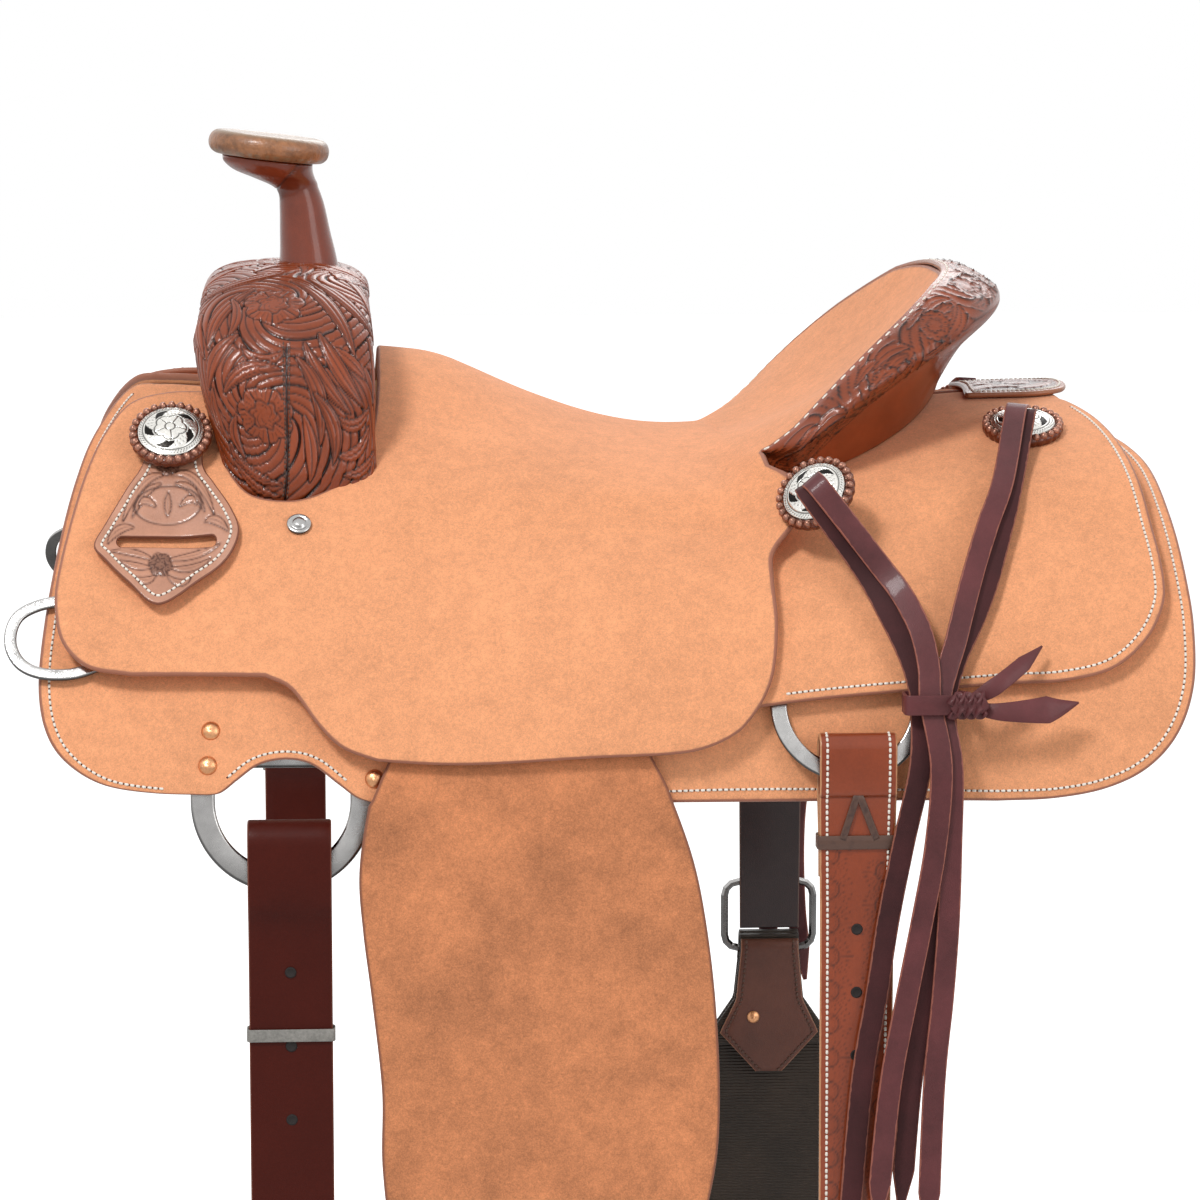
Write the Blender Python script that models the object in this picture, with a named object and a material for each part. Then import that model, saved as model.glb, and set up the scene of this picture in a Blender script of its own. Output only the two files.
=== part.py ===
"""A roping saddle, as separate closed solids in one frame.

Metres. +X runs to the tail, +Z is up, and the near (left) side is at -Y. The leather
panels lie on one shared form, the horse's back: a place on it is (x, s), where s is the
pattern distance from the spine, positive on the near side, and a level, the height above
the form. The origin is the middle of the spine line that the rack carries.
"""

import math

import bmesh
import bpy
import numpy as np
from mathutils import Matrix, Vector

MM = 0.001
GAP = 0.0005

# The form under the skirts
FORM_BASE_Z = -0.165
FORM_REACH = 0.366
FORM_HALF_WIDTH = 0.252
FRONT_NARROWING = 0.014
REAR_WIDENING = 0.010
REAR_RIDGE_Z = 0.045
WITHER_RISE = 0.039
SEAT_DIP = 0.046
SEAT_DIP_X = 0.030

# Leather and layer thicknesses, and the levels that they stack to
SKIRT_THICK = 0.0050
FLEECE_THICK = 0.0130
FLEECE_GAP = 0.0018
FENDER_THICK = 0.0038
JOCKEY_THICK = 0.0038
SEAT_THICK = 0.0042
GROUND_SEAT_THICK = 0.0040
BAR_THICK = 0.0093
PLATE_THICK = 0.0036
KEEPER_THICK = 0.0034
KEEPER_GAP = 0.0026
GROUND_GAP = 0.0018
COVER_THICK = 0.0030
FENDER_LEVEL = SKIRT_THICK + 0.0034
JOCKEY_LEVEL = SKIRT_THICK + 0.0075
SEAT_LEVEL = JOCKEY_LEVEL + JOCKEY_THICK + 0.0054
BAR_GAP = 0.0024
BAR_TOP = SKIRT_THICK + BAR_GAP + BAR_THICK
SEAT_OVER_BARS = BAR_TOP + 0.0128
JOCKEY_OVER_BARS = BAR_TOP + 0.0017 + JOCKEY_THICK

# Seat and cantle
SEAT_FRONT_X = -0.149
DISH_X = 0.070
DISH_LENGTH = 0.1555
DISH_HALF_WIDTH = 0.157
DISH_PINCH = 0.27
DISH_POWER = 2.6
DISH_CURVE = 2.6
CANTLE_TOP_Z = 0.152
ROLL_WIDTH = 0.039
CANTLE_TUCK = 0.015
CANTLE_LEATHER = 0.0032

# Fork and horn
SWELL_HALF_WIDTH = 0.160
SWELL_TOP_Z = 0.154
GULLET_HALF_WIDTH = 0.112
GULLET_TOP_Z = 0.110
HORN_CAP_RADIUS = 0.0400
HORN_CAP_THICK = 0.0160
HORN_CAP_X = -0.2195
HORN_CAP_Z = 0.2300
HORN_CAP_TILT = math.radians(6.7)

# Rigging
FRONT_RING_X = -0.212
FRONT_RING_Y = 0.2365
FRONT_RING_Z = -0.166
FRONT_RING_RADIUS = 0.0495
FRONT_RING_BAND = 0.0150
FRONT_RING_LEAN = math.radians(10)
REAR_RING_X = 0.1395
REAR_RING_Y = 0.2530
REAR_RING_Z = -0.1060
REAR_RING_RADIUS = 0.0440
REAR_RING_BAND = 0.0105
REAR_RING_LEAN = math.radians(21.5)
RING_THICK = 0.0042
LATIGO_WIDTH = 0.052
LATIGO_THICK = 0.0048
OFF_BILLET_WIDTH = 0.044
FLANK_BILLET_WIDTH = 0.048
FLANK_BILLET_THICK = 0.0026
FLANK_X = 0.1430
CINCH_WIDTH = 0.100
CINCH_THICK = 0.0060

# Fender, stirrup leather and stirrup
FENDER_X = -0.052
STIRRUP_LEATHER_WIDTH = 0.072
STIRRUP_LEATHER_THICK = 0.0030
# The height where the form would end if it hung straight; what hangs is measured from it
HANG_Z = FORM_BASE_Z + FORM_REACH
STIRRUP_BOLT_Z = HANG_Z - 0.849
STIRRUP_BOLT_RADIUS = 0.0095
STIRRUP_HEIGHT = 0.150
STIRRUP_TREAD = 0.132
STIRRUP_DEPTH = 0.050
STIRRUP_THICK = 0.011

# Conchos
CONCHO_RADIUS = 0.0268
CONCHO_HEIGHT = 0.0095
STRING_WIDTH = 0.014
STRING_THICK = 0.0024

GRID_X = 0.050
GRID_S = 0.0305
EDGE_STEP = 0.022

COLOURS = {
    "skirting": (0.72, 0.40, 0.24),
    "tooled": (0.20, 0.07, 0.03),
    "latigo": (0.10, 0.03, 0.03),
    "billet": (0.22, 0.08, 0.04),
    "fleece": (0.80, 0.75, 0.66),
    "rawhide": (0.62, 0.50, 0.33),
    "ground": (0.45, 0.30, 0.19),
    "steel": (0.72, 0.72, 0.73),
    "concho": (0.78, 0.76, 0.70),
    "string": (0.14, 0.06, 0.07),
    "wood": (0.42, 0.24, 0.12),
    "felt": (0.06, 0.10, 0.08),
}


def ease(value):
    value = np.clip(value, 0.0, 1.0)
    return value * value * (3 - 2 * value)


def half_width(x):
    narrow = FRONT_NARROWING * ease((-0.15 - x) / 0.2)
    return FORM_HALF_WIDTH - narrow + REAR_WIDENING * ease((x - 0.17) / 0.15)


def ridge(x):
    """The spine line: high at the withers, low under the rider."""
    spread = np.where(x < SEAT_DIP_X, 0.165, 0.12)
    dip = SEAT_DIP * np.exp(-(((x - SEAT_DIP_X) / spread) ** 2))
    return REAR_RIDGE_Z + WITHER_RISE * ease((0.22 - x) / 0.47) - dip


def fullness(x):
    """The power of the section curve: narrow withers, full back."""
    return 1.5 + 0.5 * ease((x + 0.2) / 0.4) + 0.4 * np.exp(-(((x - 0.05) / 0.11) ** 2))


def on_form(x, s, level):
    x, s, level = np.broadcast_arrays(
        np.asarray(x, float), np.asarray(s, float), np.asarray(level, float)
    )
    sine = np.sin(np.minimum(np.abs(s) / FORM_REACH, 1.0) * math.pi / 2)
    power = fullness(x)
    rise = np.maximum(1 - sine**power, 0.0) ** (1 / power)
    y = -np.sign(s) * (half_width(x) + level) * sine
    z = FORM_BASE_Z + (ridge(x) - FORM_BASE_Z + level) * rise
    return np.stack([x, y, z - np.maximum(np.abs(s) - FORM_REACH, 0.0)], -1)


def level_of(point):
    """The level of a point above the form, by halving."""
    x, y, z = (float(c) for c in point)
    low, high = -0.05, 0.4
    for _ in range(40):
        middle = (low + high) / 2
        across = abs(y) / (half_width(x) + middle)
        along = max(z - FORM_BASE_Z, 0.0) / (ridge(x) - FORM_BASE_Z + middle)
        power = fullness(x)
        if across**power + along**power > 1:
            low = middle
        else:
            high = middle
    return low


def pattern_s(x, y, level):
    """The pattern distance of a plan point on a level."""
    return -np.sign(y) * FORM_REACH * 2 / math.pi * np.arcsin(
        np.clip(np.abs(y) / (half_width(x) + level), 0, 1)
    )


def bar_edge(x):
    """The outer edge of the tree bars, in pattern distance."""
    front = 0.040 * np.exp(-(((x + 0.205) / 0.06) ** 4))
    return 0.125 + front + 0.012 * ease((x - 0.1) / 0.1)


def over_bars(x, s):
    return ease((bar_edge(x) + 0.050 - np.abs(s)) / 0.045)


def rim_z(x):
    """Height of the cantle's rim seam over its plan."""
    stations = [0.070, 0.085, 0.100, 0.115, 0.130, 0.145, 0.160, 0.175, 0.190, 0.210, 0.2255]
    heights = [0.030, 0.036, 0.044, 0.057, 0.073, 0.088, 0.102, 0.115, 0.127, 0.143, CANTLE_TOP_Z]
    return np.interp(x, stations, heights)


def pinch(x):
    """How far the cantle's front ends draw in."""
    return 1 - DISH_PINCH * np.clip((0.125 - x) / 0.055, 0, 1) ** 2


def rim_plan(angle):
    """Plan of the rim seam: 0 is the middle of the cantle, +-90 degrees its ends."""
    c, s = np.cos(angle), np.sin(angle)
    reach = (np.abs(c) ** DISH_POWER + np.abs(s) ** DISH_POWER) ** (-1 / DISH_POWER)
    x = DISH_X + DISH_LENGTH * reach * c
    return x, DISH_HALF_WIDTH * pinch(x) * reach * s


def seat_crown_z(x):
    """The seat's middle line, from the fork back to the dish."""
    stations = [-0.20, -0.148, -0.111, -0.081, -0.060, -0.040, -0.009, 0.018, 0.040, 0.075, 0.3]
    heights = [0.100, 0.098, 0.094, 0.081, 0.071, 0.063, 0.052, 0.0455, 0.043, 0.043, 0.043]
    return np.interp(x, stations, heights)


def seat_surface(x, s):
    """The seat leather's outer face, with its jockeys, swells and dish."""
    x, s = np.broadcast_arrays(np.asarray(x, float), np.asarray(s, float))
    level = SEAT_LEVEL + (SEAT_OVER_BARS - SEAT_LEVEL) * over_bars(x, s)
    crown = np.where(x < 0.075, seat_crown_z(x) - ridge(x), SEAT_OVER_BARS - 0.003)
    inner = ease((0.085 - np.abs(s)) / 0.085)
    level = level + (np.maximum(crown, SEAT_OVER_BARS - 0.003) - SEAT_OVER_BARS) * inner
    point = on_form(x, s, level)
    across = np.abs(point[..., 1]) / (DISH_HALF_WIDTH * pinch(x))
    along = np.maximum(x - DISH_X, 0) / DISH_LENGTH
    share = (along**DISH_POWER + across**DISH_POWER) ** (1 / DISH_POWER)
    angle = np.arctan2(across, along)
    rim_x, rim_y = rim_plan(angle)
    base_s = pattern_s(rim_x, -rim_y, SEAT_OVER_BARS)
    base = on_form(rim_x, np.abs(base_s), SEAT_OVER_BARS)[..., 2]
    lift = np.maximum(rim_z(rim_x) - base, 0) * np.minimum(share, 1.02) ** DISH_CURVE
    point[..., 2] += np.where(x > DISH_X, lift, 0.0)
    return point


def inward(surface, depth):
    """A surface moved into the leather by a depth along its own normal."""

    def moved(x, s):
        step = 1e-4
        along = surface(x + step, s) - surface(x - step, s)
        across = surface(x, s + step) - surface(x, s - step)
        normal = np.cross(across, along)
        normal /= np.linalg.norm(normal, axis=-1, keepdims=True)
        return surface(x, s) - normal * depth

    return moved


def flat(level):
    return lambda x, s: on_form(x, s, level)


def jockey_surface(x, s):
    return on_form(x, s, jockey_level(x, s))


def jockey_level(x, s):
    return JOCKEY_LEVEL + JOCKEY_THICK + (
        JOCKEY_OVER_BARS - JOCKEY_LEVEL - JOCKEY_THICK
    ) * over_bars(x, s)


def start():
    for thing in list(bpy.data.objects):
        bpy.data.objects.remove(thing)
    groups = []
    for name in ("saddle", "cutters"):
        group = bpy.data.collections.new(name)
        bpy.context.scene.collection.children.link(group)
        groups.append(group)
    return groups


SADDLE, CUTTERS = start()


def material(slot):
    found = bpy.data.materials.get(slot)
    if found:
        return found
    made = bpy.data.materials.new(slot)
    made.use_nodes = True
    shader = made.node_tree.nodes["Principled BSDF"]
    shader.inputs["Base Color"].default_value = (*COLOURS[slot], 1)
    shader.inputs["Roughness"].default_value = 0.3 if slot in ("steel", "concho") else 0.6
    shader.inputs["Metallic"].default_value = 1.0 if slot in ("steel", "concho") else 0.0
    return made


def solid(name, verts, faces, slot, cutter=False):
    """A closed mesh, its faces turned outwards."""
    mesh = bpy.data.meshes.new(name)
    mesh.from_pydata([tuple(map(float, v)) for v in verts], [], faces)
    shape = bmesh.new()
    shape.from_mesh(mesh)
    bmesh.ops.recalc_face_normals(shape, faces=shape.faces)
    bmesh.ops.triangulate(shape, faces=shape.faces)
    shape.to_mesh(mesh)
    shape.free()
    thing = bpy.data.objects.new(name, mesh)
    if cutter:
        thing.hide_render = True
        thing.display_type = "WIRE"
        CUTTERS.objects.link(thing)
    else:
        mesh.materials.append(material(slot))
        SADDLE.objects.link(thing)
    return thing


def cut(thing, cutter):
    step = thing.modifiers.new("cut_" + cutter.name, "BOOLEAN")
    step.operation = "DIFFERENCE"
    step.solver = "EXACT"
    step.object = cutter


def smooth_stroke(points, step=EDGE_STEP):
    """A curve through the points, straight where there are only two."""
    points = [np.array(p, float) * MM for p in points]
    if len(points) < 3:
        return points
    ends = [2 * points[0] - points[1]] + points + [2 * points[-1] - points[-2]]
    curve = []
    for a, b, c, d in zip(ends, ends[1:], ends[2:], ends[3:]):
        count = max(1, int(round(np.linalg.norm(c - b) / step)))
        for k in range(count):
            t = k / count
            curve.append(
                0.5 * (2 * b + (c - a) * t + (2 * a - 5 * b + 4 * c - d) * t**2
                       + (3 * b - a - 3 * c + d) * t**3)
            )
    return curve + [points[-1]]


def outline(*strokes, side=1):
    """A closed outline in (x, s) from strokes given in millimetres."""
    points = []
    for stroke in strokes:
        for point in smooth_stroke(stroke):
            if not points or np.linalg.norm(point - points[-1]) > 1e-5:
                points.append(point)
    if np.linalg.norm(points[0] - points[-1]) < 1e-5:
        points.pop()
    return np.array(points) * [1, side]


def pattern_mesh(points):
    """The outline as a flat mesh, cut along one grid that all panels share."""
    shape = bmesh.new()
    shape.faces.new([shape.verts.new((x, s, 0)) for x, s in points])
    for axis, step in ((0, GRID_X), (1, GRID_S)):
        low = math.ceil(points[:, axis].min() / step)
        high = math.floor(points[:, axis].max() / step)
        if axis == 1:
            reach = math.ceil(FORM_REACH / step)
            low, high = max(low, -reach), min(high, reach)
        for k in range(low, high + 1):
            centre = [0, 0, 0]
            centre[axis] = k * step
            normal = [0, 0, 0]
            normal[axis] = 1
            bmesh.ops.bisect_plane(
                shape, geom=shape.verts[:] + shape.edges[:] + shape.faces[:],
                plane_co=centre, plane_no=normal, dist=1e-5,
            )
    bmesh.ops.remove_doubles(shape, verts=shape.verts, dist=2e-4)
    split_cells(shape)
    bmesh.ops.triangulate(shape, faces=shape.faces)
    shape.verts.index_update()
    verts = np.array([v.co[:2] for v in shape.verts])
    faces = [[v.index for v in face.verts] for face in shape.faces]
    rim = []
    for edge in shape.edges:
        if len(edge.link_faces) == 1:
            loop = edge.link_loops[0]
            rim.append((loop.vert.index, loop.link_loop_next.vert.index))
    shape.free()
    return verts, faces, rim


def split_cells(shape):
    """Every four-sided cell split the same way, so that stacked panels nest."""
    for face in list(shape.faces):
        if len(face.verts) != 4:
            continue
        ranked = sorted(face.verts, key=lambda v: v.co.x + abs(v.co.y))
        low, high = ranked[0], ranked[-1]
        joined = any(high in edge.verts for edge in low.link_edges)
        if not joined:
            bmesh.utils.face_split(face, low, high)


def panel(name, points, outer, inner, slot):
    """A leather panel: its pattern laid on an outer and an inner surface."""
    flat_verts, faces, rim = pattern_mesh(points)
    x, s = flat_verts[:, 0], flat_verts[:, 1]
    count = len(flat_verts)
    verts = np.vstack([outer(x, s), inner(x, s)])
    walls = [(a, b, b + count, a + count) for a, b in rim]
    backs = [[i + count for i in reversed(face)] for face in faces]
    return solid(name, verts, faces + backs + walls, slot)


def loft(name, loops, slot, cutter=False, ring=False):
    """A solid through closed loops, capped, or joined end to start."""
    loops = [np.asarray(loop) for loop in loops]
    size = len(loops[0])
    verts = np.vstack(loops)
    faces = []
    last = len(loops) if ring else len(loops) - 1
    for k in range(last):
        for i in range(size):
            j = (i + 1) % size
            a, b = k * size, ((k + 1) % len(loops)) * size
            faces.append((a + i, a + j, b + j, b + i))
    if not ring:
        faces.append(tuple(range(size - 1, -1, -1)))
        top = (len(loops) - 1) * size
        faces.append(tuple(range(top, top + size)))
    return solid(name, verts, faces, slot, cutter)


def shell(name, outer, inner, slot):
    """A skin between two matching grids of points, joined round their edge."""
    rows, columns = outer.shape[:2]
    verts = np.vstack([outer.reshape(-1, 3), inner.reshape(-1, 3)])
    count = rows * columns
    faces = []
    for i in range(rows - 1):
        for j in range(columns - 1):
            a = i * columns + j
            quad = (a, a + 1, a + columns + 1, a + columns)
            faces.append(quad)
            faces.append(tuple(count + k for k in reversed(quad)))
    edge = [j for j in range(columns)]
    edge += [(i + 1) * columns - 1 for i in range(1, rows)]
    edge += [(rows - 1) * columns + j for j in range(columns - 2, -1, -1)]
    edge += [i * columns for i in range(rows - 2, 0, -1)]
    for a, b in zip(edge, edge[1:] + edge[:1]):
        faces.append((a, b, b + count, a + count))
    return solid(name, verts, faces, slot)


def turned(name, profile, centre, axis, slot, sides=24):
    """A turned solid: (radius, height) from its foot to its top, on an axis."""
    turn = Vector((0, 0, 1)).rotation_difference(Vector(axis)).to_matrix()
    rings = []
    for radius, height in profile:
        ring = []
        for k in range(sides):
            angle = 2 * math.pi * k / sides
            local = Vector((radius * math.cos(angle), radius * math.sin(angle), height))
            ring.append(Vector(centre) + turn @ local)
        rings.append(ring)
    return loft(name, rings, slot)


def strip(name, path, across, widths, thick, slot):
    """A flat strap along a path, with its width along a fixed direction."""
    path = np.asarray(path, float)
    across = np.broadcast_to(np.asarray(across, float), path.shape)
    tangent = np.gradient(path, axis=0)
    face = np.cross(tangent, across)
    face /= np.linalg.norm(face, axis=1, keepdims=True)
    widths = np.broadcast_to(widths, len(path))
    loops = []
    for point, side, up, width in zip(path, across, face, widths):
        half, rise = side * width / 2, up * thick / 2
        loops.append([point + half + rise, point - half + rise,
                      point - half - rise, point + half - rise])
    return loft(name, loops, slot)


def hoop(name, path, normal, band, thick, slot, corner=0.25):
    """A closed flat ring along a path, band wide in its plane and thick across it."""
    path = np.asarray(path, float)
    tangent = np.roll(path, -1, 0) - np.roll(path, 1, 0)
    tangent /= np.linalg.norm(tangent, axis=1, keepdims=True)
    normal = np.asarray(normal, float)
    out = np.cross(tangent, normal)
    b, t = band / 2, thick / 2
    r = corner * thick
    section = [(b, 0), (b - r, t), (r - b, t), (-b, 0), (r - b, -t), (b - r, -t)]
    loops = [[p + o * u + normal * v for u, v in section] for p, o in zip(path, out)]
    return loft(name, loops, slot, ring=True)


def side_name(stem, side):
    return stem + ("_near" if side > 0 else "_off")


def mirrored(points, side):
    """Points given for the near side, on the side that is asked for."""
    points = np.asarray(points, float).copy()
    points[..., 1] *= side
    return points


# Tree

FORK_STATIONS = 9


def fork_lines(grow):
    """Long lines of the fork's surface, from one foot over the top to the other."""
    height = np.linspace(0, math.pi / 2, 9)
    rise = SWELL_TOP_Z - 0.060
    outer = [(SWELL_HALF_WIDTH * math.sin(a) ** 0.77, 0.060 + rise * math.cos(a) ** 0.77)
             for a in height]
    outer += [(SWELL_HALF_WIDTH + 0.003, 0.030), (SWELL_HALF_WIDTH + 0.001, 0.010),
              (SWELL_HALF_WIDTH - 0.005, -0.030)]
    rise = GULLET_TOP_Z - 0.045
    inner = [(GULLET_HALF_WIDTH * math.sin(a) ** 0.83, 0.045 + rise * math.cos(a) ** 0.83)
             for a in height]
    inner += [(GULLET_HALF_WIDTH + 0.006, 0.020), (GULLET_HALF_WIDTH + 0.014, -0.030)]
    outer, inner = resample(outer, 24), resample(inner, 24)
    lengths = [0.0, 0.030, 0.050, 0.070, 0.090, 0.130, 0.150]
    halves = [0.0480, 0.0480, 0.0490, 0.0510, 0.0540, 0.0570, 0.0540]
    lean = [-0.1985, -0.1990, -0.2010, -0.2035, -0.2060, -0.2100, -0.2090]
    lines = []
    for k in range(12):
        angle = 2 * math.pi * k / 12
        line = []
        for out, back in zip(outer, inner):
            crown = 1 - float(ease(out[1] / 0.085))
            power = 0.75 + (0.60 if math.cos(angle) > 0 else 0.25) * crown
            along = math.copysign(abs(math.cos(angle)) ** power, math.cos(angle))
            across = math.copysign(abs(math.sin(angle)) ** power, math.sin(angle))
            middle, arm = (out + back) / 2, (out - back) / 2
            depth = np.linalg.norm(arm)
            arm = arm / depth * (depth + grow)
            place = middle + arm * across
            half = np.interp(out[1], lengths, halves) + grow
            line.append((np.interp(out[1], lengths, lean) + half * along, *place))
        lines.append(line_to_level(line, BAR_TOP + 0.0016))
    return lines


def resample(points, count):
    points = np.asarray(points, float)
    steps = np.concatenate([[0], np.cumsum(np.linalg.norm(np.diff(points, axis=0), axis=1))])
    places = np.linspace(0, steps[-1], count)
    return np.stack([np.interp(places, steps, points[:, k]) for k in range(points.shape[1])], 1)


def line_to_level(line, level):
    """A line from the fork's top, ended where it meets a level over the bars."""
    line = [np.array(p, float) for p in line]
    kept = [line[0]]
    for a, b in zip(line, line[1:]):
        if level_of((b[0], b[1], b[2])) < level:
            for _ in range(30):
                middle = (a + b) / 2
                if level_of(middle) < level:
                    b = middle
                else:
                    a = middle
            kept.append(a)
            break
        kept.append(b)
    return resample(kept, FORK_STATIONS)


def fork_grid(grow):
    """Loops round the fork, from the near foot to the off foot."""
    half = np.array(fork_lines(grow)).transpose(1, 0, 2)
    near = half[::-1] * [1, -1, 1]
    return np.concatenate([near, half[1:]])


def make_fork():
    loft("tree_fork", fork_grid(-COVER_THICK - GAP), "rawhide")
    outer, inner = fork_grid(0.0), fork_grid(-COVER_THICK)
    loops = list(outer) + list(inner[::-1])
    verts = np.vstack(loops)
    size, faces = outer.shape[1], []
    for k in range(len(loops)):
        for i in range(size):
            j = (i + 1) % size
            a, b = k * size, ((k + 1) % len(loops)) * size
            faces.append((a + i, a + j, b + j, b + i))
    solid("swell_cover", verts, faces, "tooled")
    return loft("swell_cutter", fork_grid(GAP), "tooled", cutter=True)


def make_horn(swell_cutter):
    """The leather-wrapped neck, and the cap whose top is the flat dally face."""
    lean = Matrix.Rotation(HORN_CAP_TILT, 3, "Y")
    cap = Vector((HORN_CAP_X, 0, HORN_CAP_Z))
    stations = [(-0.1935, 0.136, 0.0220, 0.0250, 0), (-0.1943, 0.158, 0.0187, 0.0210, 0),
                (-0.1960, 0.173, 0.0168, 0.0185, 0), (-0.1978, 0.190, 0.0150, 0.0165, 0),
                (-0.1995, 0.1990, 0.0140, 0.0153, 0.1), (-0.2025, 0.2035, 0.0155, 0.0160, 0.4),
                (-0.2090, 0.2079, 0.0212, 0.0195, 0.7), (-0.2160, 0.2121, 0.0268, 0.0250, 0.9),
                (-0.2200, 0.2172, 0.0296, 0.0288, 1.0)]
    loops = []
    for x, z, half_x, half_y, share in stations:
        turn = Matrix.Rotation(HORN_CAP_TILT * share, 3, "Y")
        loops.append([Vector((x, 0, z)) + turn @ Vector((half_x * math.cos(a), half_y * math.sin(a), 0))
                      for a in np.linspace(0, 2 * math.pi, 20, endpoint=False)])
    foot = HORN_CAP_THICK / 2 + GAP
    loops.append([cap + lean @ Vector((0.0300 * math.cos(a), 0.0300 * math.sin(a), -foot))
                  for a in np.linspace(0, 2 * math.pi, 20, endpoint=False)])
    neck = loft("horn_neck", loops, "tooled")
    cut(neck, swell_cutter)
    h, r = HORN_CAP_THICK / 2, HORN_CAP_RADIUS
    profile = [(r - 0.009, -h), (r - 0.003, -h + 0.003), (r, -0.001), (r - 0.001, 0.0035),
               (r - 0.0045, h - 0.0014), (r - 0.009, h)]
    turned("horn_cap", profile, cap, lean @ Vector((0, 0, 1)), "rawhide", sides=32)


def make_bars():
    for side in (1, -1):
        length = np.linspace(-0.262, 0.300, 26)
        ends = np.sqrt(np.clip(1 - (np.abs(length - 0.019) / 0.281) ** 6, 0, 1))
        inner = 0.078 - 0.036 * ends
        outer = 0.078 + (bar_edge(length) - 0.078) * ends
        points = [(x, s) for x, s in zip(length, outer)]
        points += [(x, s) for x, s in zip(length[-2:0:-1], inner[-2:0:-1])]
        points = np.array(points) * [1, side]
        panel(side_name("tree_bar", side), points, flat(BAR_TOP),
              flat(SKIRT_THICK + BAR_GAP), "rawhide")


def cantle_section(angle, inset=0.0):
    """The cantle's back in one radial plane: rim seam, roll, then down to the bars."""
    rim_x, rim_y = (float(v) for v in rim_plan(angle))
    top = float(rim_z(rim_x))
    roll = 0.006 + (ROLL_WIDTH - 0.006) * max(math.cos(angle), 0.0)
    out = np.array([math.cos(angle) / DISH_LENGTH, math.sin(angle) / DISH_HALF_WIDTH])
    out /= np.linalg.norm(out)
    foot_level = JOCKEY_OVER_BARS + 0.0010
    tuck = CANTLE_TUCK * abs(math.sin(2 * angle))
    foot = np.array([rim_x, rim_y]) - out * tuck
    foot_s = pattern_s(foot[0], -foot[1], foot_level)
    base = float(on_form(foot[0], abs(foot_s), foot_level)[2])
    drop = max(top - base, 0.004)
    curve = [(0.0, 0.0), (0.35, -0.03), (0.74, -0.24), (1.0, -0.50), (0.96, -0.82),
             (0.50, -1.38), (0.16, -2.10)]
    scale = min(1.0, drop / (2.6 * roll))
    points = []
    for (o, h), share in zip(curve, (0, 0, 0, 0, 0.1, 0.4, 0.75)):
        offset, height = o * roll - share * tuck, h * roll * scale
        if inset:
            offset -= inset * (0.3 + 0.7 * min(o * 2, 1))
            height -= inset * max(1.0 + h * 1.1, -0.4)
        points.append((rim_x + out[0] * offset, rim_y + out[1] * offset, top + height))
    offset = -inset
    points.append((foot[0] + out[0] * offset, foot[1] + out[1] * offset, base))
    return np.array(points)


def make_cantle():
    angles = np.radians(np.linspace(-77, 77, 21))
    outer = np.array([cantle_section(a) for a in angles])
    inner = np.array([cantle_section(a, CANTLE_LEATHER) for a in angles])
    shell("cantle_back", outer, inner, "tooled")
    depth = SEAT_THICK + GROUND_GAP + GROUND_SEAT_THICK + 0.0020
    front = inward(seat_surface, depth)
    loops = []
    for angle in np.radians(np.linspace(-66, 66, 19)):
        back = cantle_section(angle, CANTLE_LEATHER + 0.0022)[1:]
        rim_x, rim_y = rim_plan(angle)
        face = []
        for share in (0.62, 0.74, 0.86, 0.95):
            x = DISH_X + (rim_x - DISH_X) * share
            y = rim_y * share
            face.append(front(x, pattern_s(x, y, SEAT_OVER_BARS)))
        low = face[0].copy()
        level = BAR_TOP + 0.0028
        s = abs(pattern_s(low[0], low[1], level))
        low[2] = min(float(on_form(low[0], s, level)[2]), face[0][2] - 0.001)
        back[-1][2] = max(back[-1][2], level_height(back[-1], level))
        loops.append(list(back) + [low] + face)
    loft("tree_cantle", loops, "rawhide")


def level_height(point, level):
    s = abs(pattern_s(point[0], point[1], level))
    return float(on_form(point[0], s, level)[2])


# Skirts and seat

def make_skirts():
    for side in (1, -1):
        shape = outline(
            [(-264, 38), (-290, 37), (-311, 42), (-332, 85), (-343, 122), (-352, 166),
             (-360, 219), (-363, 262), (-358, 295), (-345, 320), (-322, 341), (-292, 350),
             (-258, 352)],
            [(-250, 349), (-239, 334), (-226, 320), (-209, 315), (-193, 320), (-177, 339),
             (-165, 356), (-150, 367)],
            [(-150, 367), (232, 368)],
            [(232, 368), (268, 366), (300, 359), (326, 345), (345, 322), (356, 290),
             (359, 250), (358, 212), (355, 160), (349, 104), (333, 61), (312, 36)],
            [(312, 36), (300, 6)], [(300, 6), (246, 6)], [(246, 6), (226, 33)],
            side=side)
        panel(side_name("skirt", side), shape, flat(SKIRT_THICK), flat(0), "skirting")
        lining = outline(
            [(-262, 42), (-289, 41), (-307, 46), (-327, 87), (-338, 123), (-347, 167),
             (-355, 219), (-358, 260), (-353, 293), (-341, 316), (-319, 335), (-302, 342)],
            [(-302, 342), (-290, 262)], [(-290, 262), (-134, 262)], [(-134, 262), (-128, 361)],
            [(-128, 361), (230, 363)],
            [(230, 363), (265, 361), (297, 354), (322, 340), (340, 319), (351, 288),
             (354, 250), (353, 212), (350, 161), (344, 106), (328, 64), (308, 40)],
            [(308, 40), (296, 10)], [(296, 10), (250, 10)], [(250, 10), (229, 37)],
            side=side)
        panel(side_name("fleece", side), lining, flat(-FLEECE_GAP), flat(-FLEECE_GAP - FLEECE_THICK), "fleece")
        plate = outline([(-286, 268), (-139, 268)], [(-139, 268), (-146, 306)],
                        [(-146, 306), (-176, 318), (-206, 309), (-236, 316), (-278, 310)],
                        side=side)
        panel(side_name("rigging_plate", side), plate, flat(-0.0168), flat(-0.0194), "latigo")


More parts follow.
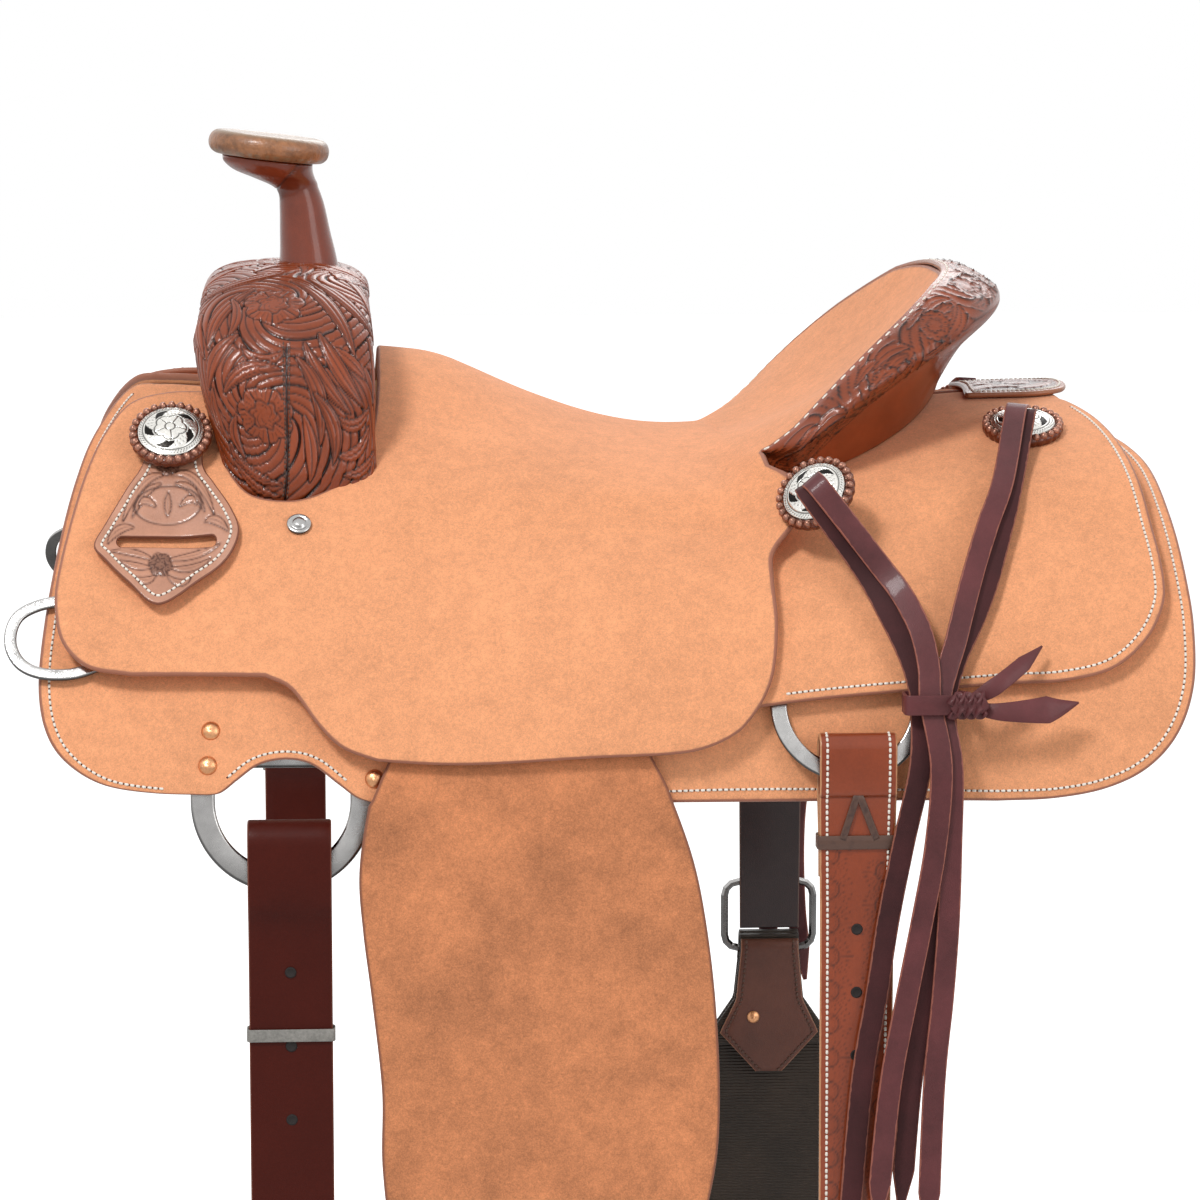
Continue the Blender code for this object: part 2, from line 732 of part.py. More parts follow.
def make_rear_jockeys():
    for side in (1, -1):
        shape = outline(
            [(221, 5), (298, 5)], [(298, 5), (304, 38)],
            [(308, 44), (321, 76), (331, 117), (338, 174), (341, 217), (338, 240),
             (325, 263), (303, 281), (272, 289), (240, 291)],
            [(240, 291), (60, 312)], [(60, 312), (58, 150)],
            [(58, 150), (74, 133), (96, 122), (121, 124), (145, 114), (166, 100), (184, 83),
             (198, 64), (208, 44), (216, 22), (221, 5)],
            side=side)

        def bottom(x, s):
            return on_form(x, s, jockey_level(x, s) - JOCKEY_THICK)

        panel(side_name("rear_jockey", side), shape, jockey_surface, bottom, "skirting")
    level = JOCKEY_OVER_BARS + 0.0008
    plate = outline(
        [(240, -34), (270, -36), (292, -34), (308, -24), (313, 0), (308, 24), (292, 34),
         (270, 36), (240, 34)],
        [(240, 34), (243, 0), (240, -34)])
    panel("rear_plate", plate, flat(level + PLATE_THICK), flat(level), "tooled")


def rim_outline(share=1.0, first=88, last=-88, count=25):
    """Pattern points along the rim, from the near end to the off end."""
    points = []
    for angle in np.radians(np.linspace(first, last, count)):
        x, y = rim_plan(angle)
        x, y = DISH_X + (x - DISH_X) * share, y * share
        points.append((x, float(-pattern_s(x, y, SEAT_OVER_BARS))))
    return points


def make_seat(swell_cutter):
    half = [
        [(-149, 0), (-150, 60), (-154, 96), (-161, 118), (-172, 133), (-191, 145),
         (-210, 150), (-232, 147), (-246, 130), (-254, 106), (-259, 84), (-261, 76)],
        [(-261, 76), (-286, 78), (-309, 87), (-325, 110), (-336, 137), (-345, 165),
         (-351, 192), (-353, 213), (-348, 236), (-332, 252), (-305, 257)],
        [(-305, 257), (-222, 256)],
        [(-222, 256), (-206, 264), (-190, 287), (-175, 304), (-154, 315)],
        [(-154, 315), (-104, 323), (-38, 330), (20, 336), (50, 334), (74, 322), (90, 301),
         (95, 266), (94, 232), (95, 211), (106, 202), (118, 192)],
        [(118, 192), (109, 162), (97, 141)],
    ]
    near = outline(*half)
    off = near[::-1] * [1, -1]
    rim = np.array(rim_outline(share=0.970, first=81, last=-81))
    points = np.vstack([near, rim, off])
    keep = [0]
    for k in range(1, len(points)):
        if np.linalg.norm(points[k] - points[keep[-1]]) > 0.0015:
            keep.append(k)
    if np.linalg.norm(points[keep[-1]] - points[0]) < 0.0015:
        keep.pop()
    seat = panel("seat_leather", points[keep], seat_surface,
                 inward(seat_surface, SEAT_THICK), "skirting")
    cut(seat, swell_cutter)
    under = SEAT_THICK + GROUND_GAP
    front = outline([(-136, -92), (-136, 92)], [(-136, 92), (-60, 110), (30, 112), (66, 108)])
    back = np.array(rim_outline(share=0.90, first=72, last=-72, count=17))
    other = outline([(66, -108), (30, -112), (-60, -110), (-136, -92)])
    points = np.vstack([front, back, other[:-1]])
    panel("ground_seat", points, inward(seat_surface, under),
          inward(seat_surface, under + GROUND_SEAT_THICK), "ground")


# Fittings

def ring_path(radius, bar_height):
    """A dee: a half circle below, with a straight bar at bar_height above its centre."""
    corner = 0.010
    points = []
    for a in np.radians(np.linspace(180, 360, 13)):
        points.append((radius * math.cos(a), radius * math.sin(a)))
    for a in np.radians(np.linspace(0, 90, 3)):
        points.append((radius - corner + corner * math.cos(a),
                       bar_height - corner + corner * math.sin(a)))
    for a in np.radians(np.linspace(90, 180, 3)):
        points.append((corner - radius + corner * math.cos(a),
                       bar_height - corner + corner * math.sin(a)))
    return points


def make_rings():
    rings = (
        ("front_ring", FRONT_RING_X, FRONT_RING_Y, FRONT_RING_Z, FRONT_RING_RADIUS,
         FRONT_RING_BAND, FRONT_RING_LEAN, 0.028, RING_THICK),
        ("rear_ring", REAR_RING_X, REAR_RING_Y, REAR_RING_Z, REAR_RING_RADIUS,
         REAR_RING_BAND, REAR_RING_LEAN, 0.016, 0.0032),
    )
    for stem, x, y, z, radius, band, lean, bar, thick in rings:
        down = np.array([0, -math.sin(lean), -math.cos(lean)])
        normal = np.array([0, -math.cos(lean), math.sin(lean)])
        centre = np.array([x, -y, z])
        for side in (1, -1):
            path = [centre + np.array([u, 0, 0]) - down * v for u, v in ring_path(radius, bar)]
            out = mirrored(normal, side)
            hoop(side_name(stem, side), mirrored(path, side), out, band, thick, "steel")


def ring_bar(y, z, radius, lean):
    """The middle of a ring's lowest bar, as (y, z) on the near side."""
    return -y - radius * math.sin(lean), z - radius * math.cos(lean)


def hairpin(bar, front, back, reach, front_end, back_end, narrow, spread):
    """A strap's path in (y, z): up the outside, over a bar and down the inside."""
    y, z = bar
    top = z + reach
    turn = (front + back) / 2
    middle = y + (back - front) / 2
    path = [(y - narrow, front_end), (y - narrow, (z - spread + front_end) / 2),
            (y - narrow, z - spread), (y - front, z - 0.010), (y - front, top - turn)]
    for a in np.radians((150, 120, 90, 60, 30)):
        path.append((middle + turn * math.cos(a), top - turn + turn * math.sin(a)))
    path += [(y + back, top - turn), (y + back, z - 0.010), (y + narrow, z - spread),
             (y + narrow, back_end)]
    return path


def make_front_straps():
    bar = ring_bar(FRONT_RING_Y, FRONT_RING_Z, FRONT_RING_RADIUS, FRONT_RING_LEAN)
    for side, stem, width, end, thick in (
        (1, "latigo", LATIGO_WIDTH, -0.465, LATIGO_THICK),
        (-1, "off_billet", OFF_BILLET_WIDTH, -0.385, LATIGO_THICK),
    ):
        path = hairpin(bar, 0.0112, 0.0112, 0.036, end, end, 0.0030, 0.040)
        points = [(FRONT_RING_X + 0.004, y * side, z) for y, z in path]
        strip(stem, points, (1, 0, 0), width, thick, "latigo")


def make_flank_straps():
    bar = ring_bar(REAR_RING_Y, REAR_RING_Z, REAR_RING_RADIUS, REAR_RING_LEAN)
    for side, end in ((1, -0.660), (-1, -0.361)):
        path = hairpin(bar, 0.0066, 0.0094, 0.024, end, -0.212, 0.0040, 0.040)
        points = [(FLANK_X, y * side, z) for y, z in path]
        widths = np.interp([z for y, z in path], [end, -0.24, -0.16], [0.044, 0.046, FLANK_BILLET_WIDTH])
        strip(side_name("flank_billet", side), points, (1, 0, 0), widths, FLANK_BILLET_THICK,
              "billet")
    outside = -bar[0] + 0.0040 + FLANK_BILLET_THICK / 2
    wire = 0.0056
    face = outside + GAP + wire / 2
    centre = np.array([FLANK_X, face, -0.352])
    path = [centre + np.array([u, 0, v]) for u, v in rounded_box(0.066, 0.050, 0.010)]
    hoop("cinch_buckle", path, (0, 1, 0), wire, wire, "steel", corner=0.3)
    low = (-face, centre[2] - 0.025)
    path = hairpin(low, 0.0075, 0.0075, 0.012, -0.800, -0.450, 0.0040, 0.024)
    points = [(FLANK_X, -y, z) for y, z in path]
    heights = [z for y, z in path]
    widths = np.interp(heights, [-0.800, -0.782, -0.450, -0.415, low[1]],
                       [0.070, CINCH_WIDTH, CINCH_WIDTH, 0.052, 0.044])
    strip("back_cinch", points, (1, 0, 0), widths, CINCH_THICK * 0.6, "felt")


def rounded_box(width, height, corner, count=4):
    points = []
    for turn, (cx, cy) in enumerate(((1, 1), (-1, 1), (-1, -1), (1, -1))):
        for a in np.linspace(0, math.pi / 2, count):
            a += turn * math.pi / 2
            points.append((cx * (width / 2 - corner) + corner * math.cos(a),
                           cy * (height / 2 - corner) + corner * math.sin(a)))
    return points


def frame_on(surface, x, s, reach, lift):
    """A place over a near-side surface and its outward normal, taken over a reach."""
    along = surface(x + reach, s) - surface(x - reach, s)
    across = surface(x, s + reach) - surface(x, s - reach)
    normal = np.cross(across, along)
    normal = normal / np.linalg.norm(normal)
    return surface(x, s) + normal * lift, normal


CONCHO_PROFILE = [(0.90, 0.0), (1.0, 0.22), (0.90, 0.42), (0.74, 0.52), (0.52, 0.84),
                  (0.20, 1.0)]


def make_conchos():
    profile = [(r * CONCHO_RADIUS, h * CONCHO_HEIGHT) for r, h in CONCHO_PROFILE]
    keeper_top = KEEPER_GAP + KEEPER_THICK
    places = (
        ("front_concho", -0.2815, 0.1200, keeper_top + 0.0050),
        ("mid_concho", 0.1250, 0.1965, 0.0034),
        ("rear_concho", 0.2685, 0.0915, 0.0022),
    )
    frames = {}
    for stem, x, s, lift in places:
        surface = jockey_surface if stem == "rear_concho" else seat_surface
        place, normal = frame_on(surface, x, s, CONCHO_RADIUS * 0.8, lift)
        frames[stem.split("_")[0]] = (place, normal)
        for side in (1, -1):
            turned(side_name(stem, side), profile, mirrored(place, side),
                   mirrored(normal, side), "concho", sides=18)
    place, normal = frame_on(seat_surface, -0.2007, SWELL_HALF_WIDTH + 0.0056, 0.008, 0.0009)
    screw = [(0.0072, 0), (0.0078, 0.0008), (0.0068, 0.0022), (0.0035, 0.0032)]
    for side in (1, -1):
        turned(side_name("jockey_screw", side), screw, mirrored(place, side),
               mirrored(normal, side), "steel", sides=16)
    return frames


def make_keepers():
    for side in (1, -1):
        shape = outline(
            [(-279, 98), (-266, 101), (-261, 112), (-261, 134), (-254, 145), (-243, 160),
             (-238, 174), (-245, 189), (-262, 202), (-288, 217), (-308, 203), (-322, 190),
             (-329, 181), (-322, 167), (-310, 149), (-299, 133), (-297, 112), (-292, 101),
             (-279, 98)],
            side=side)

        def top(x, s):
            base = SEAT_LEVEL + (SEAT_OVER_BARS - SEAT_LEVEL) * over_bars(x, s)
            return on_form(x, s, base + KEEPER_GAP + KEEPER_THICK)

        def bottom(x, s):
            base = SEAT_LEVEL + (SEAT_OVER_BARS - SEAT_LEVEL) * over_bars(x, s)
            return on_form(x, s, base + KEEPER_GAP)

        keeper = panel(side_name("latigo_keeper", side), shape, top, bottom, "skirting")
        place, normal = frame_on(seat_surface, -0.2835, 0.1790, 0.010, KEEPER_GAP)
        down = np.cross(normal, [1, 0, 0])
        corners = []
        for n in (-0.012, 0.012):
            loop = [place + np.array([u, 0, 0]) + down * v + normal * n
                    for u, v in rounded_box(0.062, 0.0064, 0.0030, 3)]
            corners.append(mirrored(loop, side))
        slot = loft(side_name("slot_cutter", side), corners, "steel", cutter=True)
        cut(keeper, slot)


def make_breast_dees():
    """A flat dee on each front corner, its two ends between skirt and front jockey."""
    for side in (1, -1):
        track = outline([(-318, 246), (-340, 255), (-360, 255), (-374, 248), (-380.5, 234),
                         (-377, 219), (-364, 211), (-345, 208), (-318, 209)])
        level = SKIRT_THICK + 0.0032
        path = on_form(track[:, 0], track[:, 1], level)
        mid = len(path) // 2
        normal = np.cross(path[mid] - path[0], path[-1] - path[0])
        normal /= np.linalg.norm(normal)
        if normal[1] > 0:
            normal = -normal
        path = path - np.outer((path - path[mid]) @ normal, normal)
        path = path + normal * 0.0012
        path, normal = mirrored(path, side), mirrored(normal, side)
        hoop(side_name("breast_dee", side), path, normal, 0.0078, 0.0032, "steel")


# Fenders and stirrups

def make_fenders():
    for side in (1, -1):
        shape = outline(
            [(-84, 152), (-20, 152)],
            [(-20, 152), (-18, 200), (-16, 262), (2, 300), (17, 338), (28, 362), (42, 402),
             (50, 441), (56, 490), (59, 546), (57, 595), (46, 645), (30, 690), (10, 728),
             (-14, 752), (-52, 760), (-90, 752), (-114, 728), (-133, 690), (-146, 645),
             (-152, 595), (-152, 546), (-158, 487), (-163, 445), (-165, 408), (-159, 366),
             (-148, 322), (-134, 292), (-98, 258), (-86, 200), (-84, 152)],
            side=side)
        panel(side_name("fender", side), shape, flat(FENDER_LEVEL + FENDER_THICK),
              flat(FENDER_LEVEL), "skirting")


def leather_lines():
    """Middle lines, in y, of the stirrup leather's outer and inner runs."""
    outer = FORM_HALF_WIDTH + FENDER_LEVEL - 0.0008 - STIRRUP_LEATHER_THICK / 2
    return outer, outer - STIRRUP_LEATHER_THICK - 0.0010


def make_stirrups():
    outer, inner = leather_lines()
    wrap = STIRRUP_BOLT_RADIUS + 0.0012 + STIRRUP_LEATHER_THICK / 2
    bolt_y = outer - wrap
    for side in (1, -1):
        path = [(outer, z) for z in (HANG_Z - 0.386, HANG_Z - 0.601, HANG_Z - 0.761,
                                    STIRRUP_BOLT_Z + 0.016)]
        for a in np.radians(np.linspace(0, -180, 9)):
            path.append((bolt_y + wrap * math.cos(a), STIRRUP_BOLT_Z + wrap * math.sin(a)))
        path += [(bolt_y - wrap + 0.001, STIRRUP_BOLT_Z + 0.014), (inner, HANG_Z - 0.801),
                 (inner, HANG_Z - 0.601), (inner, HANG_Z - 0.386)]
        points = [(FENDER_X, -y * side, z) for y, z in path]
        strip(side_name("stirrup_leather", side), points, (1, 0, 0), STIRRUP_LEATHER_WIDTH,
              STIRRUP_LEATHER_THICK, "latigo")
        middle = (outer + inner) / 2
        wall, room = 0.0016, 0.0008
        deep = outer - inner + STIRRUP_LEATHER_THICK + room + wall
        wide = STIRRUP_LEATHER_WIDTH + room + wall
        loop = [(FENDER_X + u, -(middle + v) * side, HANG_Z - 0.780)
                for u, v in rounded_box(wide, deep, 0.0016, 3)]
        hoop(side_name("stirrup_buckle", side), loop, (0, 0, 1), wall, 0.030, "steel",
             corner=0.02)
        centre = (FENDER_X, -bolt_y * side, STIRRUP_BOLT_Z)
        half = STIRRUP_LEATHER_WIDTH / 2 + 0.0035
        turned(side_name("stirrup_bolt", side),
               [(STIRRUP_BOLT_RADIUS, -half), (STIRRUP_BOLT_RADIUS, half)],
               centre, (1, 0, 0), "steel", sides=16)
        arm = half + GAP + STIRRUP_THICK / 2
        low = STIRRUP_BOLT_Z - STIRRUP_HEIGHT
        track = [(-arm, STIRRUP_BOLT_Z + 0.016), (-arm, STIRRUP_BOLT_Z - 0.020),
                 (-arm - 0.010, STIRRUP_BOLT_Z - 0.050), (-arm - 0.021, low + 0.060),
                 (-STIRRUP_TREAD / 2 + 0.001, low + 0.024), (-STIRRUP_TREAD / 2 + 0.014, low + 0.005),
                 (-STIRRUP_TREAD / 2 + 0.032, low)]
        track += [(-u, v) for u, v in reversed(track)]
        path = np.array([(FENDER_X + u, -bolt_y * side, v) for u, v in track])
        tangent = np.gradient(path, axis=0)
        tangent /= np.linalg.norm(tangent, axis=1, keepdims=True)
        loops = []
        for point, along in zip(path, tangent):
            thick = np.cross(along, [0, 1, 0]) * STIRRUP_THICK / 2
            rise = (point[2] - low) / (STIRRUP_BOLT_Z + 0.016 - low)
            deep = np.array([0, 1, 0]) * (STIRRUP_DEPTH / 2) * (1 - 0.45 * max(rise, 0))
            loops.append([point + thick + deep, point + thick - deep,
                          point - thick - deep, point - thick + deep])
        loft(side_name("stirrup", side), loops, "wood")


# Saddle strings: flat thongs, and the braided tie that gathers them

STRING_ROUTES = {
    "string_mid_a": [(159, 224, 41), (172, 243, 39), (181, 261, 37), (185, 275, 35.5),
                     (187, 290, 34), (187, 307, 34)],
    "string_mid_b": [(150, 224, 35), (164, 252, 30.5), (175, 276, 27.5), (180, 292, 26.6),
                     (182, 307, 26.6)],
    "string_rear_a": [(245, 157, 34), (232, 189, 33), (221, 218, 33), (212, 245, 32),
                      (204, 271, 31), (198, 288, 30.4), (194, 307, 30.4)],
    "string_rear_b": [(250, 160, 28.5), (239, 195, 26), (228, 228, 26), (217, 254, 26),
                      (204, 281, 26.2), (197.2, 307, 26.4)],
}
NEAR_TAILS = {
    "string_mid_a": [(193, -286, -140), (190, -286, -189), (182, -286, -237), (173, -286, -285),
                     (163, -286, -343), (155, -286, -430)],
    "string_mid_b": [(181, -279, -140), (171, -279, -189), (162, -279, -237), (155, -279, -285),
                     (146, -279, -343), (138, -279, -446)],
    "string_rear_a": [(200, -282.5, -140), (200, -282.5, -189), (199, -282.5, -237),
                      (196, -282.5, -285), (191, -282.5, -343), (188, -282.5, -438)],
    "string_rear_b": [(198, -279, -140), (196, -279, -189), (191, -279, -237),
                      (185, -279, -285), (177, -279, -343), (171, -279, -424)],
}
OFF_TAILS = {
    "string_mid_a": [(176, -294, -150), (156, -294.5, -215), (147, -294.5, -275),
                     (146, -294.5, -345), (139, -294.5, -424)],
    "string_rear_a": [(195, -288, -150), (176, -290, -215), (165, -290.5, -275),
                      (165, -290.5, -345), (172, -290.5, -405)],
}
STRING_HEADS = {
    "string_mid_a": ("mid", 0.003, 0.0108), "string_mid_b": ("mid", -0.003, 0.0046),
    "string_rear_a": ("rear", -0.003, 0.0078), "string_rear_b": ("rear", 0.002, 0.0042),
}


def make_strings(concho_frames):
    for side in (1, -1):
        tails = NEAR_TAILS if side > 0 else OFF_TAILS
        for name, tail in tails.items():
            concho, aside, rise = STRING_HEADS[name]
            place, normal = concho_frames[concho]
            route = [on_form(x * MM, s * MM, level * MM) for x, s, level in STRING_ROUTES[name]]
            away = route[0] - place
            away = away - normal * (away @ normal)
            away = away / np.linalg.norm(away)
            head = [place + [aside, 0, 0] + normal * (CONCHO_HEIGHT + rise) + away * fall
                    for fall in (0.003, 0.016)]
            tail = [np.array(p) * MM for p in tail]
            path = mirrored(smooth_path(head + route + tail, 0.030), side)
            across = string_across(path, mirrored(normal, side))
            strip(side_name(name, side), path, across, STRING_WIDTH, STRING_THICK, "string")
        middle = on_form(0.1902, 0.307, 0.0304)
        loop = [middle + np.array([u, v, 0]) for u, v in rounded_box(0.0375, 0.0180, 0.003, 3)]
        hoop(side_name("string_tie", side), mirrored(loop, side), (0, 0, 1), 0.0020, 0.013,
             "string", corner=0.05)


def smooth_path(points, step):
    flat_points = [np.asarray(p) / MM for p in points]
    return np.array(smooth_stroke(flat_points, step))


def string_across(path, normal):
    """The width direction of a thong: flat on its concho, then facing out as it hangs."""
    tangent = np.gradient(path, axis=0)
    rise = np.clip((path[:, 2] + 0.02) / 0.06, 0, 1)
    outward = np.stack([0 * rise, np.sign(path[:, 1]), rise], 1)
    outward /= np.linalg.norm(outward, axis=1, keepdims=True)
    near = np.exp(-((np.linalg.norm(path - path[0], axis=1) / 0.045) ** 2))[:, None]
    across = np.cross(outward * (1 - near) + normal * near, tangent)
    return across / np.linalg.norm(across, axis=1, keepdims=True)


def make_saddle():
    swell_cutter = make_fork()
    make_horn(swell_cutter)
    make_bars()
    make_cantle()
    make_skirts()
    make_rear_jockeys()
    make_seat(swell_cutter)
    make_rings()
    make_front_straps()
    make_flank_straps()
    concho_frames = make_conchos()
    make_keepers()
    make_breast_dees()
    make_fenders()
    make_stirrups()
    make_strings(concho_frames)


make_saddle()
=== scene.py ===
import math

import bpy
import numpy as np
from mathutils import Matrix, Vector
from mathutils.geometry import delaunay_2d_cdt


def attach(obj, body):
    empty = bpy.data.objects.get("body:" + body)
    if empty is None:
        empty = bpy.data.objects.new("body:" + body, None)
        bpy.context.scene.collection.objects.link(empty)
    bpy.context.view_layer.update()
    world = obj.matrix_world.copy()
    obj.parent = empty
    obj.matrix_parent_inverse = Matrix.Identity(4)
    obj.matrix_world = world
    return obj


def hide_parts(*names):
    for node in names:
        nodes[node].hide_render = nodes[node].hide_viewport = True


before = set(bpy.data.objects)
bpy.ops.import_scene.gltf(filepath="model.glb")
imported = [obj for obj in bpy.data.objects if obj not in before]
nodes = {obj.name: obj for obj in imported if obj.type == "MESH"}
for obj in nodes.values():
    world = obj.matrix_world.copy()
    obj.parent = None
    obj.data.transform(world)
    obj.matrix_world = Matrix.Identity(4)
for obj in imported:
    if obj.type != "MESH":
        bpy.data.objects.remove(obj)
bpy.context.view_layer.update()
MM = 0.001


# The studio
# A camera on the near side, a little ahead of the middle and above it, with soft lamps
# and a plain pale floor under the hanging stirrups.

scene = bpy.context.scene
scene.view_settings.view_transform = "Standard"
CAMERA_PLACE = Vector((-0.181, -2.965, 0.3425))
CAMERA_AIM = Vector((0.0, 0.0, -0.075))
lens = bpy.data.cameras.new("camera")
lens.sensor_width = 36
lens.lens = 133.5
camera = bpy.data.objects.new("camera", lens)
camera.location = CAMERA_PLACE
camera.rotation_euler = (CAMERA_AIM - CAMERA_PLACE).to_track_quat("-Z", "Y").to_euler()
scene.collection.objects.link(camera)
scene.camera = camera


def put(tree, kind, inputs=None, **settings):
    """A node with its settings, its inputs given as values or as the sockets that feed them."""
    made = tree.nodes.new(kind)
    for key, value in settings.items():
        setattr(made, key, value)
    for key, value in (inputs or {}).items():
        socket = made.inputs[key]
        if isinstance(value, bpy.types.NodeSocket):
            tree.links.new(value, socket)
        else:
            socket.default_value = (*value[:3], 1) if socket.type == "RGBA" else value
    return made


def maths(tree, operation, *values):
    """The result of a Math node."""
    return put(tree, "ShaderNodeMath", dict(enumerate(values)), operation=operation).outputs[0]


def ranged(tree, value, low, high, to_low, to_high, **settings):
    """A value carried from one range to another."""
    return put(tree, "ShaderNodeMapRange", {"Value": value, "From Min": low, "From Max": high,
                                            "To Min": to_low, "To Max": to_high},
               **settings).outputs[0]


def noise(tree, place, scale, **inputs):
    """A noise's value at a place."""
    return put(tree, "ShaderNodeTexNoise", {"Vector": place, "Scale": scale, **inputs}).outputs[0]


def coordinates(tree, kind="Object"):
    """Where a point is on its object, or another of the texture coordinates."""
    return put(tree, "ShaderNodeTexCoord").outputs[kind]


def finish_of(name, roughness, **sockets):
    """A material with its Principled shader, its plain values set on the shader's sockets."""
    made = bpy.data.materials.new(name)
    made.use_nodes = True
    shader = made.node_tree.nodes["Principled BSDF"]
    shader.inputs["Roughness"].default_value = roughness
    for key, value in sockets.items():
        shader.inputs[key.replace("_", " ")].default_value = value
    return made, made.node_tree, shader


def lamp(name, place, aim, width, power):
    """A square soft lamp, turned to face a point."""
    light = bpy.data.lights.new(name, "AREA")
    light.size = width
    light.energy = power
    thing = bpy.data.objects.new(name, light)
    thing.location = place
    thing.rotation_euler = (Vector(aim) - Vector(place)).to_track_quat("-Z", "Y").to_euler()
    scene.collection.objects.link(thing)


lamp("key_lamp", (-1.5, -2.3, 2.6), (0, 0, -0.05), 0.7, 78)
lamp("side_lamp", (2.4, -2.4, 0.9), (0, 0, -0.1), 1.8, 24)
lamp("back_lamp", (0.6, 2.6, 1.9), (0, 0, 0.0), 2.0, 34)


def paper_white(tree, ambient):
    """The light's strength: plain white to camera, glossy and clear rays, and ambient to others."""
    path = put(tree, "ShaderNodeLightPath")
    seen = path.outputs["Is Camera Ray"]
    for ray in ("Is Transmission Ray", "Is Glossy Ray"):
        seen = maths(tree, "MAXIMUM", seen, path.outputs[ray])
    return ranged(tree, seen, 0.0, 1.0, ambient, 1.0)


world = bpy.data.worlds.new("studio")
scene.world = world
world.use_nodes = True
backdrop = world.node_tree.nodes["Background"]
backdrop.inputs["Color"].default_value = (1, 1, 1, 1)
world.node_tree.links.new(paper_white(world.node_tree, 0.50), backdrop.inputs["Strength"])

FLOOR_Z, FLOOR_REACH = -0.95, 14.0
floor_mesh = bpy.data.meshes.new("floor")
floor_mesh.from_pydata([(x * FLOOR_REACH, y * FLOOR_REACH, FLOOR_Z)
                        for x, y in ((-1, -1), (1, -1), (1, 1), (-1, 1))], [], [(0, 1, 2, 3)])
floor = bpy.data.objects.new("floor", floor_mesh)
scene.collection.objects.link(floor)
paint, tree, shader = finish_of("pale_floor", 0.9, Base_Color=(0.80, 0.80, 0.80, 1),
                                Emission_Color=(1, 1, 1, 1))
seen = put(tree, "ShaderNodeLightPath").outputs["Is Camera Ray"]
tree.links.new(ranged(tree, seen, 0.0, 1.0, 0.0, 0.75), shader.inputs["Emission Strength"])
floor_mesh.materials.append(paint)


# Saddle tree and ground seat
# A wooden tree of two bars, a fork and a cantle, covered in stitched rawhide and varnished,
# with a thin strainer of plain skirting leather nailed across it under the seat.

def shared(name, values, outputs):
    """A node group with its named inputs and outputs, and its two end nodes."""
    group = bpy.data.node_groups.new(name, "ShaderNodeTree")
    for title, kind, default in values:
        socket = group.interface.new_socket(title, in_out="INPUT", socket_type=kind)
        socket.default_value = default
    for title, kind in outputs:
        group.interface.new_socket(title, in_out="OUTPUT", socket_type=kind)
    return group, group.nodes.new("NodeGroupInput"), group.nodes.new("NodeGroupOutput")


FLOAT, COLOUR = "NodeSocketFloat", "NodeSocketColor"

# Mottle: a colour that drifts lighter and darker in broad patches and in small specks.
mottle, given, result = shared(
    "mottle",
    [("Colour", COLOUR, (0.5, 0.5, 0.5, 1)), ("Patch size", FLOAT, 30.0),
     ("Patch share", FLOAT, 0.1), ("Speck size", FLOAT, 900.0), ("Speck share", FLOAT, 0.1)],
    [("Colour", COLOUR), ("Specks", FLOAT)])
place = coordinates(mottle)
patches = noise(mottle, place, given.outputs["Patch size"], Detail=4.0, Roughness=0.62)
specks = noise(mottle, place, given.outputs["Speck size"], Detail=3.0, Roughness=0.7)
swing, dots = (ranged(mottle, value, 0.3, 0.7, -1.0, 1.0) for value in (patches, specks))
broad = maths(mottle, "MULTIPLY", swing, given.outputs["Patch share"])
fine = maths(mottle, "MULTIPLY_ADD", dots, given.outputs["Speck share"], broad)
tinted = put(mottle, "ShaderNodeHueSaturation", {"Color": given.outputs["Colour"],
                                                 "Value": maths(mottle, "ADD", fine, 1.0)})
mottle.links.new(tinted.outputs[0], result.inputs["Colour"])
mottle.links.new(specks, result.inputs["Specks"])

# Pores: the height of a leather's grain side, small cells with creases between them.
pores, given, result = shared("pores", [("Size", FLOAT, 700.0)], [("Height", FLOAT)])
place = coordinates(pores)
cells = put(pores, "ShaderNodeTexVoronoi", {"Vector": place, "Scale": given.outputs["Size"]})
soft = noise(pores, place, given.outputs["Size"], Detail=2.0)
pores.links.new(maths(pores, "MULTIPLY", cells.outputs["Distance"], soft), result.inputs["Height"])

# Burnish: how far a place is a rubbed edge, from the distance to the cut that the mesh keeps.
burnish, given, result = shared("burnish", [("Width", FLOAT, 0.002), ("Raggedness", FLOAT, 0.0008)],
                                [("Edge", FLOAT)])
edge = put(burnish, "ShaderNodeAttribute", attribute_name="edge").outputs["Fac"]
ragged = maths(burnish, "SUBTRACT", noise(burnish, coordinates(burnish), 220.0), 0.5)
shifted = maths(burnish, "MULTIPLY_ADD", ragged, given.outputs["Raggedness"], edge)
burnish.links.new(ranged(burnish, shifted, given.outputs["Width"], 0.0002, 0.0, 1.0,
                         interpolation_type="SMOOTHSTEP"), result.inputs["Edge"])


def use(tree, group, inputs):
    """A node that uses one of the groups."""
    return put(tree, "ShaderNodeGroup", inputs, node_tree=group)


def mottled(tree, colour, patch_size, patch_share, speck_size, speck_share):
    """The mottle of a colour, given as its value or as the socket that feeds it."""
    return use(tree, mottle, {"Colour": colour, "Patch size": patch_size,
                              "Patch share": patch_share, "Speck size": speck_size,
                              "Speck share": speck_share})


def blend(tree, factor, first, second):
    """The colour between two others, each a value or a socket."""
    return put(tree, "ShaderNodeMix", {"Factor": factor, 6: first, 7: second},
               data_type="RGBA").outputs[2]


def kept(tree, name):
    """A float that the mesh keeps at its points."""
    return put(tree, "ShaderNodeAttribute", attribute_name=name).outputs["Fac"]


